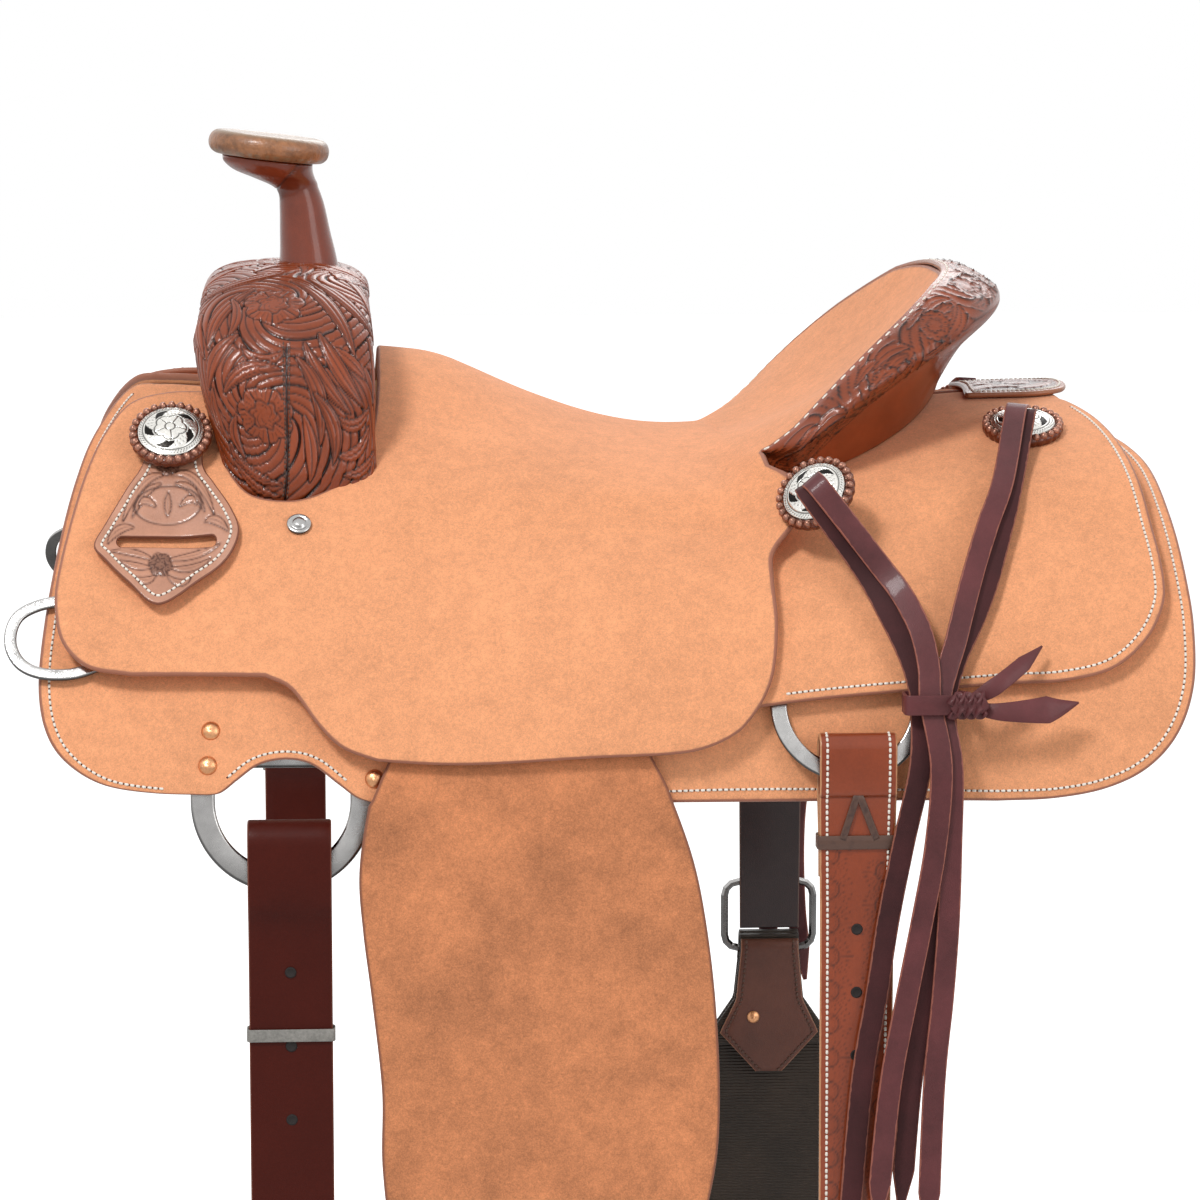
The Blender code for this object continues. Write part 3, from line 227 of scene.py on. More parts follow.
def bump(tree, shader, height, depth, strength=1.0):
    """A Bump node of a real depth in metres that feeds the shader's Normal."""
    made = put(tree, "ShaderNodeBump", {"Height": height, "Distance": depth, "Strength": strength})
    tree.links.new(made.outputs[0], shader.inputs["Normal"])


def mottled_finish(name, roughness, colour, sizes, grain=0.0, mark=None, **sockets):
    """A finish of one mottled colour, its specks raised by a grain in metres, that turns to
    the mark's colour where the mesh keeps a dark value."""
    made, tree, shader = finish_of(name, roughness, **sockets)
    tone = mottled(tree, colour, *sizes)
    face = tone.outputs["Colour"]
    if mark:
        face = blend(tree, kept(tree, "dark"), face, mark)
    tree.links.new(face, shader.inputs["Base Color"])
    if grain:
        bump(tree, shader, tone.outputs["Specks"], grain)
    return made, tree, shader


def painted(finish, *names):
    """CAD nodes that stay as they are take a finish."""
    for name in names:
        nodes[name].data.materials.clear()
        nodes[name].data.materials.append(finish)


def dressed(piece, node, body="saddle"):
    """A piece that rides on a body and stands for a node."""
    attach(piece, body)
    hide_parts(node)
    return piece


rawhide = mottled_finish("varnished_rawhide", 0.42, (0.62, 0.47, 0.28), (22.0, 0.18, 400.0, 0.05),
                         0.0004, Coat_Weight=0.35, Coat_Roughness=0.2)[0]
painted(rawhide, "tree_fork", "tree_cantle", "tree_bar_near", "tree_bar_off")
strainer = mottled_finish("strainer_leather", 0.7, (0.45, 0.28, 0.16), (18.0, 0.15, 800.0, 0.1),
                          0.0003)[0]
painted(strainer, "ground_seat")


# Skirts
# Two large roughout panels of heavy skirting leather that carry the rigging, shaped over the
# bars, their cut edges rubbed round and their rims lockstitched to the woolskin under them.

FORM_BASE_Z, FORM_REACH, FORM_HALF_WIDTH = -0.165, 0.366, 0.252
FRONT_NARROWING, REAR_WIDENING = 0.014, 0.010
REAR_RIDGE_Z, WITHER_RISE = 0.045, 0.039
SEAT_DIP, SEAT_DIP_X = 0.046, 0.030


def ease(value):
    """Smoothstep from 0 to 1: 3v squared less 2v cubed."""
    value = np.clip(value, 0.0, 1.0)
    return value * value * (3 - 2 * value)


def half_width(x):
    """Half the back's width: narrower at the withers and wider at the loin."""
    narrow = FRONT_NARROWING * ease((-0.15 - x) / 0.2)
    return FORM_HALF_WIDTH - narrow + REAR_WIDENING * ease((x - 0.17) / 0.15)


def ridge(x):
    """The spine line's height: a rise at the withers less a bell-shaped dip under the rider."""
    spread = np.where(x < SEAT_DIP_X, 0.165, 0.12)
    dip = SEAT_DIP * np.exp(-(((x - SEAT_DIP_X) / spread) ** 2))
    return REAR_RIDGE_Z + WITHER_RISE * ease((0.22 - x) / 0.47) - dip


def fullness(x):
    """The power of the back's section, near 2 for an ellipse."""
    return 1.5 + 0.5 * ease((x + 0.2) / 0.4) + 0.4 * np.exp(-(((x - 0.05) / 0.11) ** 2))


def on_form(x, s, level):
    """A place x along the back, s round it from the spine, and a level above it:
    y follows a sine of s, z the superellipse of that sine, and past the reach it hangs."""
    x, s, level = np.broadcast_arrays(
        np.asarray(x, float), np.asarray(s, float), np.asarray(level, float))
    sine = np.sin(np.minimum(np.abs(s) / FORM_REACH, 1.0) * math.pi / 2)
    power = fullness(x)
    rise = np.maximum(1 - sine**power, 0.0) ** (1 / power)
    y = -np.sign(s) * (half_width(x) + level) * sine
    z = FORM_BASE_Z + (ridge(x) - FORM_BASE_Z + level) * rise
    return np.stack([x, y, z - np.maximum(np.abs(s) - FORM_REACH, 0.0)], -1)


def flat(level):
    """The surface at one level over the form."""
    return lambda x, s: on_form(x, s, level)


def unit(v):
    """Vectors on the last axis made one long."""
    return v / np.maximum(np.linalg.norm(v, axis=-1, keepdims=True), 1e-12)


def lengths(grid):
    """The length along each line of a grid of points, from the line's first point."""
    return np.cumsum(np.linalg.norm(np.diff(grid, axis=-2, prepend=grid[..., :1, :]), axis=-1), -1)


def read_at(places, run, table):
    """The rows of a table at places along a run."""
    return np.stack([np.interp(places, run, column) for column in table.T], 1)


def evenly(line, step):
    """A line with its points spaced evenly at about a step."""
    run = lengths(line)
    return read_at(np.linspace(0, run[-1], max(2, int(round(run[-1] / step)) + 1)), run, line)


def catmull_rom(p, count):
    """The Catmull-Rom curve through points, or through each row of a grid, count to a span."""
    before, after = 2 * p[..., :1, :] - p[..., 1:2, :], 2 * p[..., -1:, :] - p[..., -2:-1, :]
    p = np.concatenate([before, p, after], -2)
    t = np.linspace(0, 1, count, endpoint=False)[:, None]
    a, b, c, d = (p[..., k:p.shape[-2] - 3 + k, None, :] for k in range(4))
    curve = 0.5 * (2 * b + (c - a) * t + (2 * a - 5 * b + 4 * c - d) * t**2
                   + (3 * b - a - 3 * c + d) * t**3)
    return np.concatenate([curve.reshape(*p.shape[:-2], -1, p.shape[-1]), p[..., -2:-1, :]], -2)


def smooth_line(points, step=0.002):
    """A Catmull-Rom curve through points, evenly spaced."""
    return evenly(catmull_rom(np.asarray(points, float), 20), step)


def trace(*strokes, side=1, gap=0.0025):
    """A closed line from strokes in millimetres: each a Catmull-Rom curve, its points evenly
    spaced, with the corners kept where two strokes meet."""
    line = []
    for stroke in strokes:
        p = np.array(stroke, float) * MM
        if len(p) > 2:
            p = catmull_rom(p, 24)
        run = lengths(p)
        line.append(read_at(np.linspace(0, run[-1], max(2, int(run[-1] / gap) + 1)), run, p))
    line = np.vstack(line)
    step = np.linalg.norm(line - np.roll(line, 1, 0), axis=1)
    return line[step > gap * 0.2] * [1, side]


def area(loop):
    """Twice a closed line's area, positive where it runs counterclockwise."""
    return np.sum(loop[:, 0] * np.roll(loop[:, 1], -1) - np.roll(loop[:, 0], -1) * loop[:, 1])


def outwards(loop):
    """Unit normals that point out of a closed line, the mean of its two edges at each point."""
    edge = unit(np.roll(loop, -1, 0) - loop)
    normal = np.stack([edge[:, 1], -edge[:, 0]], 1) * np.sign(area(loop))
    return unit(normal + np.roll(normal, 1, 0))


BLOCK_SIZE = 2_000_000
NO_EDGE = 0.01


def blocks_of(points, line):
    """The points in blocks small enough to set against a whole line."""
    return np.array_split(points, max(1, len(points) * len(line) // BLOCK_SIZE))


def distances(points, line):
    """Distance from each point to a closed line: the least over its segments."""
    span = np.roll(line, -1, 0) - line
    size = np.maximum(np.sum(span**2, 1), 1e-14)
    least = []
    for block in blocks_of(points, line):
        off = block[:, None] - line[None]
        t = np.clip(np.sum(off * span, 2) / size, 0, 1)
        least.append(np.linalg.norm(off - span * t[..., None], axis=2).min(1))
    return np.concatenate(least)


def within(points, loop):
    """Which points a closed line holds, by crossings of a ray."""
    a, b = loop, np.roll(loop, -1, 0)
    inside = []
    for block in blocks_of(points, loop):
        x, y = block[:, 0, None], block[:, 1, None]
        spans = (a[:, 1] > y) != (b[:, 1] > y)
        rise = np.where(a[:, 1] == b[:, 1], 1e-12, b[:, 1] - a[:, 1])
        cross = a[:, 0] + (y - a[:, 1]) * (b[:, 0] - a[:, 0]) / rise
        inside.append((spans & (x < cross)).sum(1) % 2 == 1)
    return np.concatenate(inside)


def within_sheet(points, loops):
    """Which points the first loop holds and the others don't."""
    keep = within(points, loops[0])
    for hole in loops[1:]:
        keep &= ~within(points, hole)
    return keep


def filled(loops, step):
    """Points and triangles that fill the first loop less the others, on a staggered lattice."""
    low, high = loops[0].min(0), loops[0].max(0)
    rows = np.arange(low[1], high[1], step * 0.866)
    columns = np.arange(low[0], high[0], step)
    grid = np.stack(np.meshgrid(columns, rows), -1)
    grid[1::2, :, 0] += step / 2
    grid = grid.reshape(-1, 2)
    grid = grid[within_sheet(grid, loops)]
    for loop in loops:
        grid = grid[distances(grid, loop) > 0.55 * step]
    points = np.vstack([*loops, grid])
    edges, start = [], 0
    for loop in loops:
        count = len(loop)
        edges += [(start + k, start + (k + 1) % count) for k in range(count)]
        start += count
    found = delaunay_2d_cdt([Vector(p) for p in points], edges, [], 0, 1e-8)
    spots = np.array([tuple(v) for v in found[0]])
    faces = np.array([f for f in found[2] if len(f) == 3])
    faces = faces[within_sheet(spots[faces].mean(1), loops)]
    same = np.full(len(points), -1)
    for new, olds in enumerate(found[3]):
        for old in olds:
            same[old] = new
    return spots, faces, same


def mesh_of(name, verts, faces, finish, values=None):
    """A mesh object at the origin, its float values kept as point attributes."""
    mesh = bpy.data.meshes.new(name)
    mesh.from_pydata(np.reshape(verts, (-1, 3)).tolist(), [],
                     faces.tolist() if hasattr(faces, "tolist") else faces)
    for key, value in (values or {}).items():
        layer = mesh.attributes.new(key, "FLOAT", "POINT")
        layer.data.foreach_set("value", np.asarray(value, np.float32).reshape(-1))
    mesh.polygons.foreach_set("use_smooth", np.full(len(mesh.polygons), True))
    mesh.materials.append(finish)
    mesh.update()
    thing = bpy.data.objects.new(name, mesh)
    scene.collection.objects.link(thing)
    return thing


def normals_of(surface, x, s, step=0.00025):
    """Unit normals of a surface of (x, s), from differences over a step each way."""
    along = surface(x + step, s) - surface(x - step, s)
    across = surface(x, s + step) - surface(x, s - step)
    return unit(np.cross(across, along))


ROLL_ROWS, HOLE_ROLL, WALL_EDGE = 7, 0.6, -0.001


def cut_leather(name, loops, top, bottom, finish, step=0.006, roll=0.0016, relief=None):
    """A piece of leather cut to closed lines in (x, s) and laid between two surfaces.
    Its cut edges are half ellipses: out by roll times the sine, down by half of one less the
    cosine. relief gives the height that tools leave on its face, and its darkness."""
    inner = [loops[0] - outwards(loops[0]) * roll]
    inner += [hole + outwards(hole) * roll * HOLE_ROLL for hole in loops[1:]]
    spots, faces, same = filled(inner, step)
    x, s = spots[:, 0], spots[:, 1]
    count = len(spots)
    outer_face = top(x, s)
    dark = np.zeros(count)
    if relief is not None:
        height, dark = relief(x, s)
        outer_face = outer_face + normals_of(top, x, s) * height[:, None]
    turn = np.sign(np.cross(spots[faces[0, 1]] - spots[faces[0, 0]],
                            spots[faces[0, 2]] - spots[faces[0, 0]]))
    upward = faces if turn < 0 else faces[:, ::-1]
    verts = [outer_face, bottom(x, s)]
    edge = [np.min([distances(spots, loop) for loop in loops], 0)] * 2
    tones = [dark, np.zeros(count)]
    quads = [upward, upward[:, ::-1] + count]
    start, first = 2 * count, 0
    for number, loop in enumerate(inner):
        size = len(loop)
        rim = same[first:first + size]
        first += size
        normal = outwards(loop) * (1 if number == 0 else -1)
        reach = roll if number == 0 else roll * HOLE_ROLL
        ids = [rim]
        for row in range(1, ROLL_ROWS):
            angle = math.pi * row / ROLL_ROWS
            out = loop + normal * reach * math.sin(angle)
            share = (1 - math.cos(angle)) / 2
            verts.append(top(out[:, 0], out[:, 1]) * (1 - share)
                         + bottom(out[:, 0], out[:, 1]) * share)
            edge.append(np.full(size, WALL_EDGE))
            tones.append(np.zeros(size))
            ids.append(np.arange(start, start + size))
            start += size
        ids.append(rim + count)
        flip = (area(loop) > 0) == (number == 0)
        for upper, lower in zip(ids, ids[1:]):
            after, below = np.roll(upper, -1), np.roll(lower, -1)
            wall = np.stack([upper, lower, below, after], 1)
            quads.append(wall[:, ::-1] if flip else wall)
    faces = [face for group in quads for face in group.tolist()]
    return mesh_of(name, np.vstack(verts), faces, finish,
                   values={"edge": np.concatenate(edge), "dark": np.concatenate(tones)})


def run_inside(loop, inset):
    """A closed line at an inset from another, its last point the first again."""
    inner = loop - outwards(loop) * inset
    inner = inner[distances(inner, loop) > inset * 0.93]
    return np.vstack([inner, inner[:1]])


def turns(count):
    """Angles spaced evenly round a circle."""
    return np.arange(count) * 2 * math.pi / count


def tube_faces(rows, sides, closed=False):
    """Faces of a tube of rings, capped with flat ends, or joined end to start."""
    i = np.arange(rows if closed else rows - 1)[:, None]
    k = np.arange(sides)[None]
    n, j = (k + 1) % sides, (i + 1) % rows
    quads = np.stack([i * sides + k, i * sides + n, j * sides + n, j * sides + k], -1)
    faces = quads.reshape(-1, 4).tolist()
    if not closed:
        faces.append(list(range(sides))[::-1])
        faces.append(list(range((rows - 1) * sides, rows * sides)))
    return faces


def repeated(faces, count, size):
    """The faces of count like tubes, each of size points."""
    return [[n + k * size for n in face] for k in range(count) for face in faces]


STITCH_SIDES = 6
STITCH_RINGS = np.array([(-0.5, 0.25), (-0.44, 0.8), (0.0, 1.0), (0.44, 0.8), (0.5, 0.25)])


def stitched(name, places, normals, finish, pitch=0.0036, length=0.0027, thick=0.0018, sink=0.20,
             shift=0.5):
    """Thread showing along a line in space: short capsules a pitch apart, half sunk."""
    run = lengths(places)
    count = max(1, int(run[-1] / pitch))
    middles = (np.arange(count) + shift) * run[-1] / count
    centre = read_at(middles, run, places)
    along = unit(read_at(middles + length / 2, run, places)
                 - read_at(middles - length / 2, run, places))
    up = unit(read_at(middles, run, normals))
    side = np.cross(up, along)
    angle = turns(STITCH_SIDES)
    rings = (centre[:, None, None]
             + along[:, None, None] * (STITCH_RINGS[:, 0] * length)[:, None, None])
    radius = (STITCH_RINGS[:, 1] * thick / 2)[:, None, None]
    rings = rings + side[:, None, None] * (np.cos(angle)[:, None] * radius)
    rings = rings + up[:, None, None] * ((np.sin(angle)[:, None] + sink) * radius)
    faces = tube_faces(len(STITCH_RINGS), STITCH_SIDES)
    return mesh_of(name, rings,
                   repeated(faces, count, len(STITCH_RINGS) * STITCH_SIDES), finish)


def joined(piece, parent):
    """A small piece that goes wherever a larger one goes."""
    piece.parent = parent
    return piece


def stitch_on(name, surface, line, piece, **sizes):
    """White stitches along a line in (x, s) on a piece's face, with the awl holes between them
    painted dark as painted shade.
    """
    x, s = line[:, 0], line[:, 1]
    face, normal = surface(x, s), normals_of(surface, x, s)
    row = joined(stitched(name, face, normal, thread, **sizes), piece)
    joined(stitched(name + "_holes", face, normal, awl_hole_shade, length=0.0015, thick=0.0018,
                    sink=-0.55, shift=0.0), row)


def napped(tree, shader, colour, patches, fibres, edge_width, edge_colour):
    """Roughout leather's colour: mottled twice, coarse then fine, and darker along cut edges."""
    tone = mottled(tree, colour, *patches)
    fibre = mottled(tree, tone.outputs["Colour"], *fibres)
    edge = use(tree, burnish, {"Width": edge_width, "Raggedness": 0.0016})
    tree.links.new(blend(tree, edge.outputs[0], fibre.outputs["Colour"], edge_colour),
                   shader.inputs["Base Color"])
    return tone, fibre, edge


# Awl holes: near-black dashes, painted shade inside each stitch hole.
awl_hole_shade = finish_of("awl_hole_shade", 0.9, Base_Color=(0.10, 0.035, 0.018, 1))[0]
roughout, tree, shader = finish_of("roughout_leather", 0.88, Sheen_Weight=0.12, Sheen_Roughness=0.5)
tone, fibre, edge = napped(tree, shader, (0.80, 0.345, 0.164), (16.0, 0.07, 1100.0, 0.16),
                           (110.0, 0.07, 420.0, 0.09), 0.0030, (0.34, 0.125, 0.070))
tree.links.new(ranged(tree, edge.outputs[0], 0.0, 1.0, 0.9, 0.5), shader.inputs["Roughness"])
bump(tree, shader, tone.outputs["Specks"], 0.0005, 0.7)

thread = mottled_finish("white_thread", 0.6, (0.88, 0.83, 0.74), (60.0, 0.06, 2500.0, 0.12),
                        0.0002)[0]

SKIRT_THICK = 0.0050
SKIRT_LINES = (
    [(-264, 38), (-290, 37), (-311, 42), (-332, 85), (-343, 122), (-352, 166), (-360, 219),
     (-363, 262), (-358, 295), (-345, 320), (-322, 341), (-292, 350), (-258, 352)],
    [(-258, 352), (-250, 349), (-239, 334), (-226, 320), (-209, 315), (-193, 320), (-177, 339),
     (-165, 356), (-150, 367)],
    [(-150, 367), (232, 368)],
    [(232, 368), (268, 366), (300, 359), (326, 345), (345, 322), (356, 290), (359, 250),
     (358, 212), (355, 160), (349, 104), (333, 61), (312, 36)],
    [(312, 36), (300, 6)], [(300, 6), (246, 6)], [(246, 6), (226, 33)], [(226, 33), (-264, 38)])
SIDES = ((1, "near"), (-1, "off"))
STITCH_INSET = 0.0068
for side, word in SIDES:
    cut_line = trace(*SKIRT_LINES, side=side)
    skirt = cut_leather("skirt_panel_" + word, [cut_line], flat(SKIRT_THICK), flat(0.0), roughout,
                        roll=0.0022)
    dressed(skirt, "skirt_" + word)
    seam = run_inside(cut_line, STITCH_INSET)
    on_rim = np.abs(seam[:, 1]) > 0.050
    for part, keep in (
        ("front", on_rim & (seam[:, 0] < -0.284)),
        ("notch", (seam[:, 0] > -0.246) & (seam[:, 0] < -0.172) & (np.abs(seam[:, 1]) > 0.25)),
        ("rear", on_rim & (seam[:, 0] > -0.130)),
    ):
        stitch_on("skirt_stitches_%s_%s" % (part, word), flat(SKIRT_THICK), seam[keep], skirt)


# Woolskin
# Clipped sheepskin glued and sewn under each skirt, cut a little smaller, its pile standing
# down against the horse's back; the rigging plates lie between it and the skirt.

wool, tree, shader = mottled_finish("clipped_wool", 0.95, (0.80, 0.73, 0.60),
                                    (26.0, 0.10, 320.0, 0.22), Sheen_Weight=0.35,
                                    Sheen_Roughness=0.6)
curls = put(tree, "ShaderNodeTexVoronoi", {"Vector": coordinates(tree), "Scale": 260.0})
bump(tree, shader, curls.outputs["Distance"], 0.003)

FLEECE_GAP, FLEECE_THICK = 0.0018, 0.0130
FLEECE_LINES = (
    [(-262, 42), (-289, 41), (-307, 46), (-327, 87), (-338, 123), (-347, 167), (-355, 219),
     (-358, 260), (-353, 293), (-341, 316), (-319, 335), (-302, 342)],
    [(-302, 342), (-290, 262)], [(-290, 262), (-134, 262)], [(-134, 262), (-128, 361)],
    [(-128, 361), (230, 363)],
    [(230, 363), (265, 361), (297, 354), (322, 340), (340, 319), (351, 288), (354, 250),
     (353, 212), (350, 161), (344, 106), (328, 64), (308, 40)],
    [(308, 40), (296, 10)], [(296, 10), (250, 10)], [(250, 10), (229, 37)],
    [(229, 37), (-262, 42)])


def pile_face(x, s):
    """The pile's tips: its level, with tufts from a sum of sine waves a centimetre long."""
    tufts = (np.sin(x * 610 + 3 * np.sin(s * 270)) * np.sin(s * 650 + 2 * np.sin(x * 330))
             + 0.6 * np.sin(x * 1350 + s * 420) * np.sin(s * 1240 - x * 510))
    return on_form(x, s, -FLEECE_GAP - FLEECE_THICK + 0.0007 + 0.0005 * tufts)


for side, word in SIDES:
    cut_line = trace(*FLEECE_LINES, side=side)
    fleece = cut_leather("woolskin_" + word, [cut_line], flat(-FLEECE_GAP), pile_face, wool,
                         step=0.0042, roll=0.0048)
    dressed(fleece, "fleece_" + word)


# Rigging plates
# Pieces of oiled latigo leather sewn between skirt and woolskin, which the front rings' straps
# pull on.

def oiled(name, colour, low_colour, edge_colour, roughness, coat=0.3, pore=1400.0, rag=0.0006,
          edge_width=0.0006, patch=0.10, shine=0.28):
    """The grain side of oiled leather, glossy and finely pored: darker where tools have pressed
    it and lighter where the rubbed edge shows the inside."""
    made, tree, shader = finish_of(name, roughness, Specular_IOR_Level=shine, Coat_Weight=coat,
                                   Coat_Roughness=0.10)
    tone = mottled(tree, colour, 24.0, patch, 520.0, 0.06)
    pressed = blend(tree, kept(tree, "dark"), tone.outputs["Colour"], low_colour)
    edge = use(tree, burnish, {"Width": edge_width, "Raggedness": rag})
    tree.links.new(blend(tree, edge.outputs[0], pressed, edge_colour), shader.inputs["Base Color"])
    grain = use(tree, pores, {"Size": pore})
    bump(tree, shader, grain.outputs["Height"], 0.0003, 0.5)
    return made


latigo_hide = oiled("burgundy_latigo", (0.060, 0.0075, 0.004), (0.012, 0.004, 0.004),
                    (0.17, 0.055, 0.035), 0.42, coat=0.03, shine=0.12)
PLATE_LINES = ([(-286, 268), (-139, 268)], [(-139, 268), (-146, 306)],
               [(-146, 306), (-176, 318), (-206, 309), (-236, 316), (-278, 310)],
               [(-278, 310), (-286, 268)])
RIGGING_TOP, RIGGING_THICK = -0.0168, 0.0026
for side, word in SIDES:
    plate = cut_leather("rigging_leather_" + word, [trace(*PLATE_LINES, side=side)],
                        flat(RIGGING_TOP), flat(RIGGING_TOP - RIGGING_THICK), latigo_hide,
                        roll=0.0010)
    dressed(plate, "rigging_plate_" + word)


# Rivets
# Domed copper rivets through skirt and rigging beside each front ring.

copper = mottled_finish("worn_copper", 0.30, (0.72, 0.36, 0.18), (300.0, 0.25, 2500.0, 0.12),
                        0.0001, Metallic=1.0)[0]


def circle(angle, u, v):
    """Unit directions at angles round a circle in the plane of two directions."""
    return np.cos(angle)[:, None] * u + np.sin(angle)[:, None] * v


def turned(name, profile, centre, axis, finish, sides=24):
    """A turned solid: radius and height pairs carried round an axis, closed by flat ends."""
    profile = np.asarray(profile, float)
    axis = unit(np.asarray(axis, float))
    helper = np.array([1.0, 0, 0]) if abs(axis[0]) < 0.9 else np.array([0, 1.0, 0])
    u = unit(np.cross(axis, helper))
    ring = circle(turns(sides), u, np.cross(axis, u))
    verts = (np.asarray(centre) + ring[None] * profile[:, 0, None, None]
             + axis * profile[:, 1, None, None])
    return mesh_of(name, verts, tube_faces(len(profile), sides), finish)


def seat_on(surface, x, s, lift=0.0, reach=0.008):
    """A place over a surface of (x, s), and its outward normal averaged over a reach."""
    normal = normals_of(surface, x, s, reach)
    return surface(np.array(x), np.array(s)) + normal * lift, normal


DOME = np.array([(0.90, -0.12), (0.96, 0.0), (0.90, 0.20), (0.78, 0.48), (0.56, 0.78), (0.3, 0.95),
                 (0.0, 1.0)])
SKIRT_RIVET, CINCH_RIVET = (0.0062, 0.0032), (0.0050, 0.0022)
for side, word in SIDES:
    for number, (x, s) in enumerate(((-256, 293), (-258, 321), (-155, 333)), 1):
        place, normal = seat_on(flat(SKIRT_THICK), x * MM, s * MM * side)
        rivet = turned("skirt_rivet_%d_%s" % (number, word), DOME * SKIRT_RIVET, place, normal,
                       copper)
        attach(rivet, "saddle")


# Rigging rings
# Flat forged rings of polished stainless steel held in straps under the skirts: a large one
# in front for the latigo and a smaller one behind for the flank billet.

steel, tree, shader = finish_of("polished_steel", 0.22, Metallic=1.0)
tone = mottled(tree, (0.50, 0.49, 0.48), 40.0, 0.20, 1600.0, 0.05)
# Painted reflection: the steel's colour is darkened where its reflected direction points down,
# standing in for a dark surround seen in the metal.
mirror = put(tree, "ShaderNodeSeparateXYZ", {"Vector": coordinates(tree, "Reflection")})
painted_reflection = ranged(tree, mirror.outputs["Z"], -0.35, 0.35, 0.22, 1.0)
steel_with_painted_reflection = put(tree, "ShaderNodeHueSaturation", {"Color": tone.outputs["Colour"],
                                               "Value": painted_reflection})
tree.links.new(steel_with_painted_reflection.outputs[0], shader.inputs["Base Color"])
smudge = noise(tree, coordinates(tree), 90.0, Detail=5.0)
tree.links.new(ranged(tree, smudge, 0.35, 0.7, 0.14, 0.34), shader.inputs["Roughness"])
bump(tree, shader, tone.outputs["Specks"], 0.00008)


def rounded(width, thick, radius, count=5, across=0):
    """A rounded rectangle's section, u across and v through, with extra points on its faces."""
    points = []
    for turn, (cx, cy) in enumerate(((1, 1), (-1, 1), (-1, -1), (1, -1))):
        angle = np.linspace(0, math.pi / 2, count) + turn * math.pi / 2
        corner = np.stack([cx * (width / 2 - radius) + radius * np.cos(angle),
                           cy * (thick / 2 - radius) + radius * np.sin(angle)], 1)
        points.append(corner)
        if across and turn in (0, 2):
            u = np.linspace(corner[-1, 0], -corner[-1, 0], across + 2)[1:-1]
            points.append(np.stack([u, np.full(across, corner[-1, 1])], 1))
    return np.vstack(points)


def round_steps(loop):
    """Steps along a closed line, from the point before each to the point after it."""
    return np.roll(loop, -1, 0) - np.roll(loop, 1, 0)


def carried(name, path, across, section, finish, closed=False, widths=None, values=None):
    """A section carried along a path: u along a width direction made square to the path, and
    v along their cross product. Returns the piece; its edge value is the distance to its side."""
    path = np.asarray(path, float)
    tangent = unit(round_steps(path) if closed else np.gradient(path, axis=0))
    across = np.broadcast_to(np.asarray(across, float), path.shape)
    across = unit(across - tangent * np.sum(across * tangent, 1, keepdims=True))
    face = np.cross(tangent, across)
    scale = np.ones(len(path)) if widths is None else np.asarray(widths) / (section[:, 0].max() * 2)
    verts = (path[:, None] + across[:, None] * (section[None, :, :1] * scale[:, None, None])
             + face[:, None] * section[None, :, 1:])
    half = section[:, 0].max() * scale
    edge = half[:, None] - np.abs(section[None, :, 0]) * scale[:, None] - 0.0004
    extra = {"edge": edge, "dark": np.zeros(edge.size)}
    extra.update(values or {})
    return mesh_of(name, verts, tube_faces(len(path), len(section), closed), finish,
                   values=extra)


def dee(radius, bar_height, corner=0.010):
    """A dee's middle line: a half circle below and a straight bar with round corners above."""
    a = np.radians(np.linspace(180, 360, 61))
    low = np.stack([radius * np.cos(a), radius * np.sin(a)], 1)
    a = np.radians(np.linspace(0, 90, 10))
    right = np.stack([radius - corner + corner * np.cos(a),
                      bar_height - corner + corner * np.sin(a)], 1)
    return np.vstack([low, right, right[::-1] * [-1, 1]])


def on_side(points, side):
    """Points of the near side, turned to the side that is asked for."""
    return np.asarray(points, float) * [1, side, 1]


def forged(name, node, line, facing, section, side):
    """A closed steel loop along a line of the near side, its flats turned to a direction."""
    path = on_side(line, side)
    across = np.cross(round_steps(path), on_side(facing, side))
    dressed(carried(name, path, across, section, steel, closed=True), node)


RINGS = (("front_ring", -0.212, 0.2365, -0.166, 0.0495, 0.0150, 10.0, 0.028, 0.0042),
         ("rear_ring", 0.1395, 0.2530, -0.1060, 0.0440, 0.0105, 21.5, 0.016, 0.0032))
ring_bars = {}
for stem, x, y, z, radius, band, lean, bar, thick in RINGS:
    lean = math.radians(lean)
    down = np.array([0, -math.sin(lean), -math.cos(lean)])
    facing = np.array([0, -math.cos(lean), math.sin(lean)])
    track = dee(radius, bar)
    line = np.array([x, -y, z]) + track[:, :1] * [1, 0, 0] - track[:, 1:] * down
    ring_bars[stem] = (-y - radius * math.sin(lean), z - radius * math.cos(lean))
    for side, word in SIDES:
        forged("%s_forged_%s" % (stem, word), "%s_%s" % (stem, word), line, facing,
               rounded(band, thick, thick * 0.46, 6), side)


# Breast-collar dees
# A flat steel dee at each front corner, its two ends held between skirt and front jockey.

track = trace([(-318, 246), (-340, 255), (-360, 255), (-374, 248), (-380.5, 234), (-377, 219),
               (-364, 211), (-345, 208), (-318, 209)])
line = on_form(track[:, 0], track[:, 1], SKIRT_THICK + 0.0032)
middle = len(line) // 2
facing = np.cross(line[middle] - line[0], line[-1] - line[0])
facing /= np.linalg.norm(facing) * -np.sign(facing[1])
line = line - np.outer((line - line[middle]) @ facing, facing) + facing * 0.0012
for side, word in SIDES:
    forged("breast_dee_forged_" + word, "breast_dee_" + word, line, facing,
           rounded(0.0078, 0.0032, 0.0015, 6), side)


# Fenders and stirrup leathers
# Long roughout panels that hang under the seat between rider and girth, with a latigo-faced
# stirrup leather looped through the stirrup bolt and closed by a sleeve buckle.

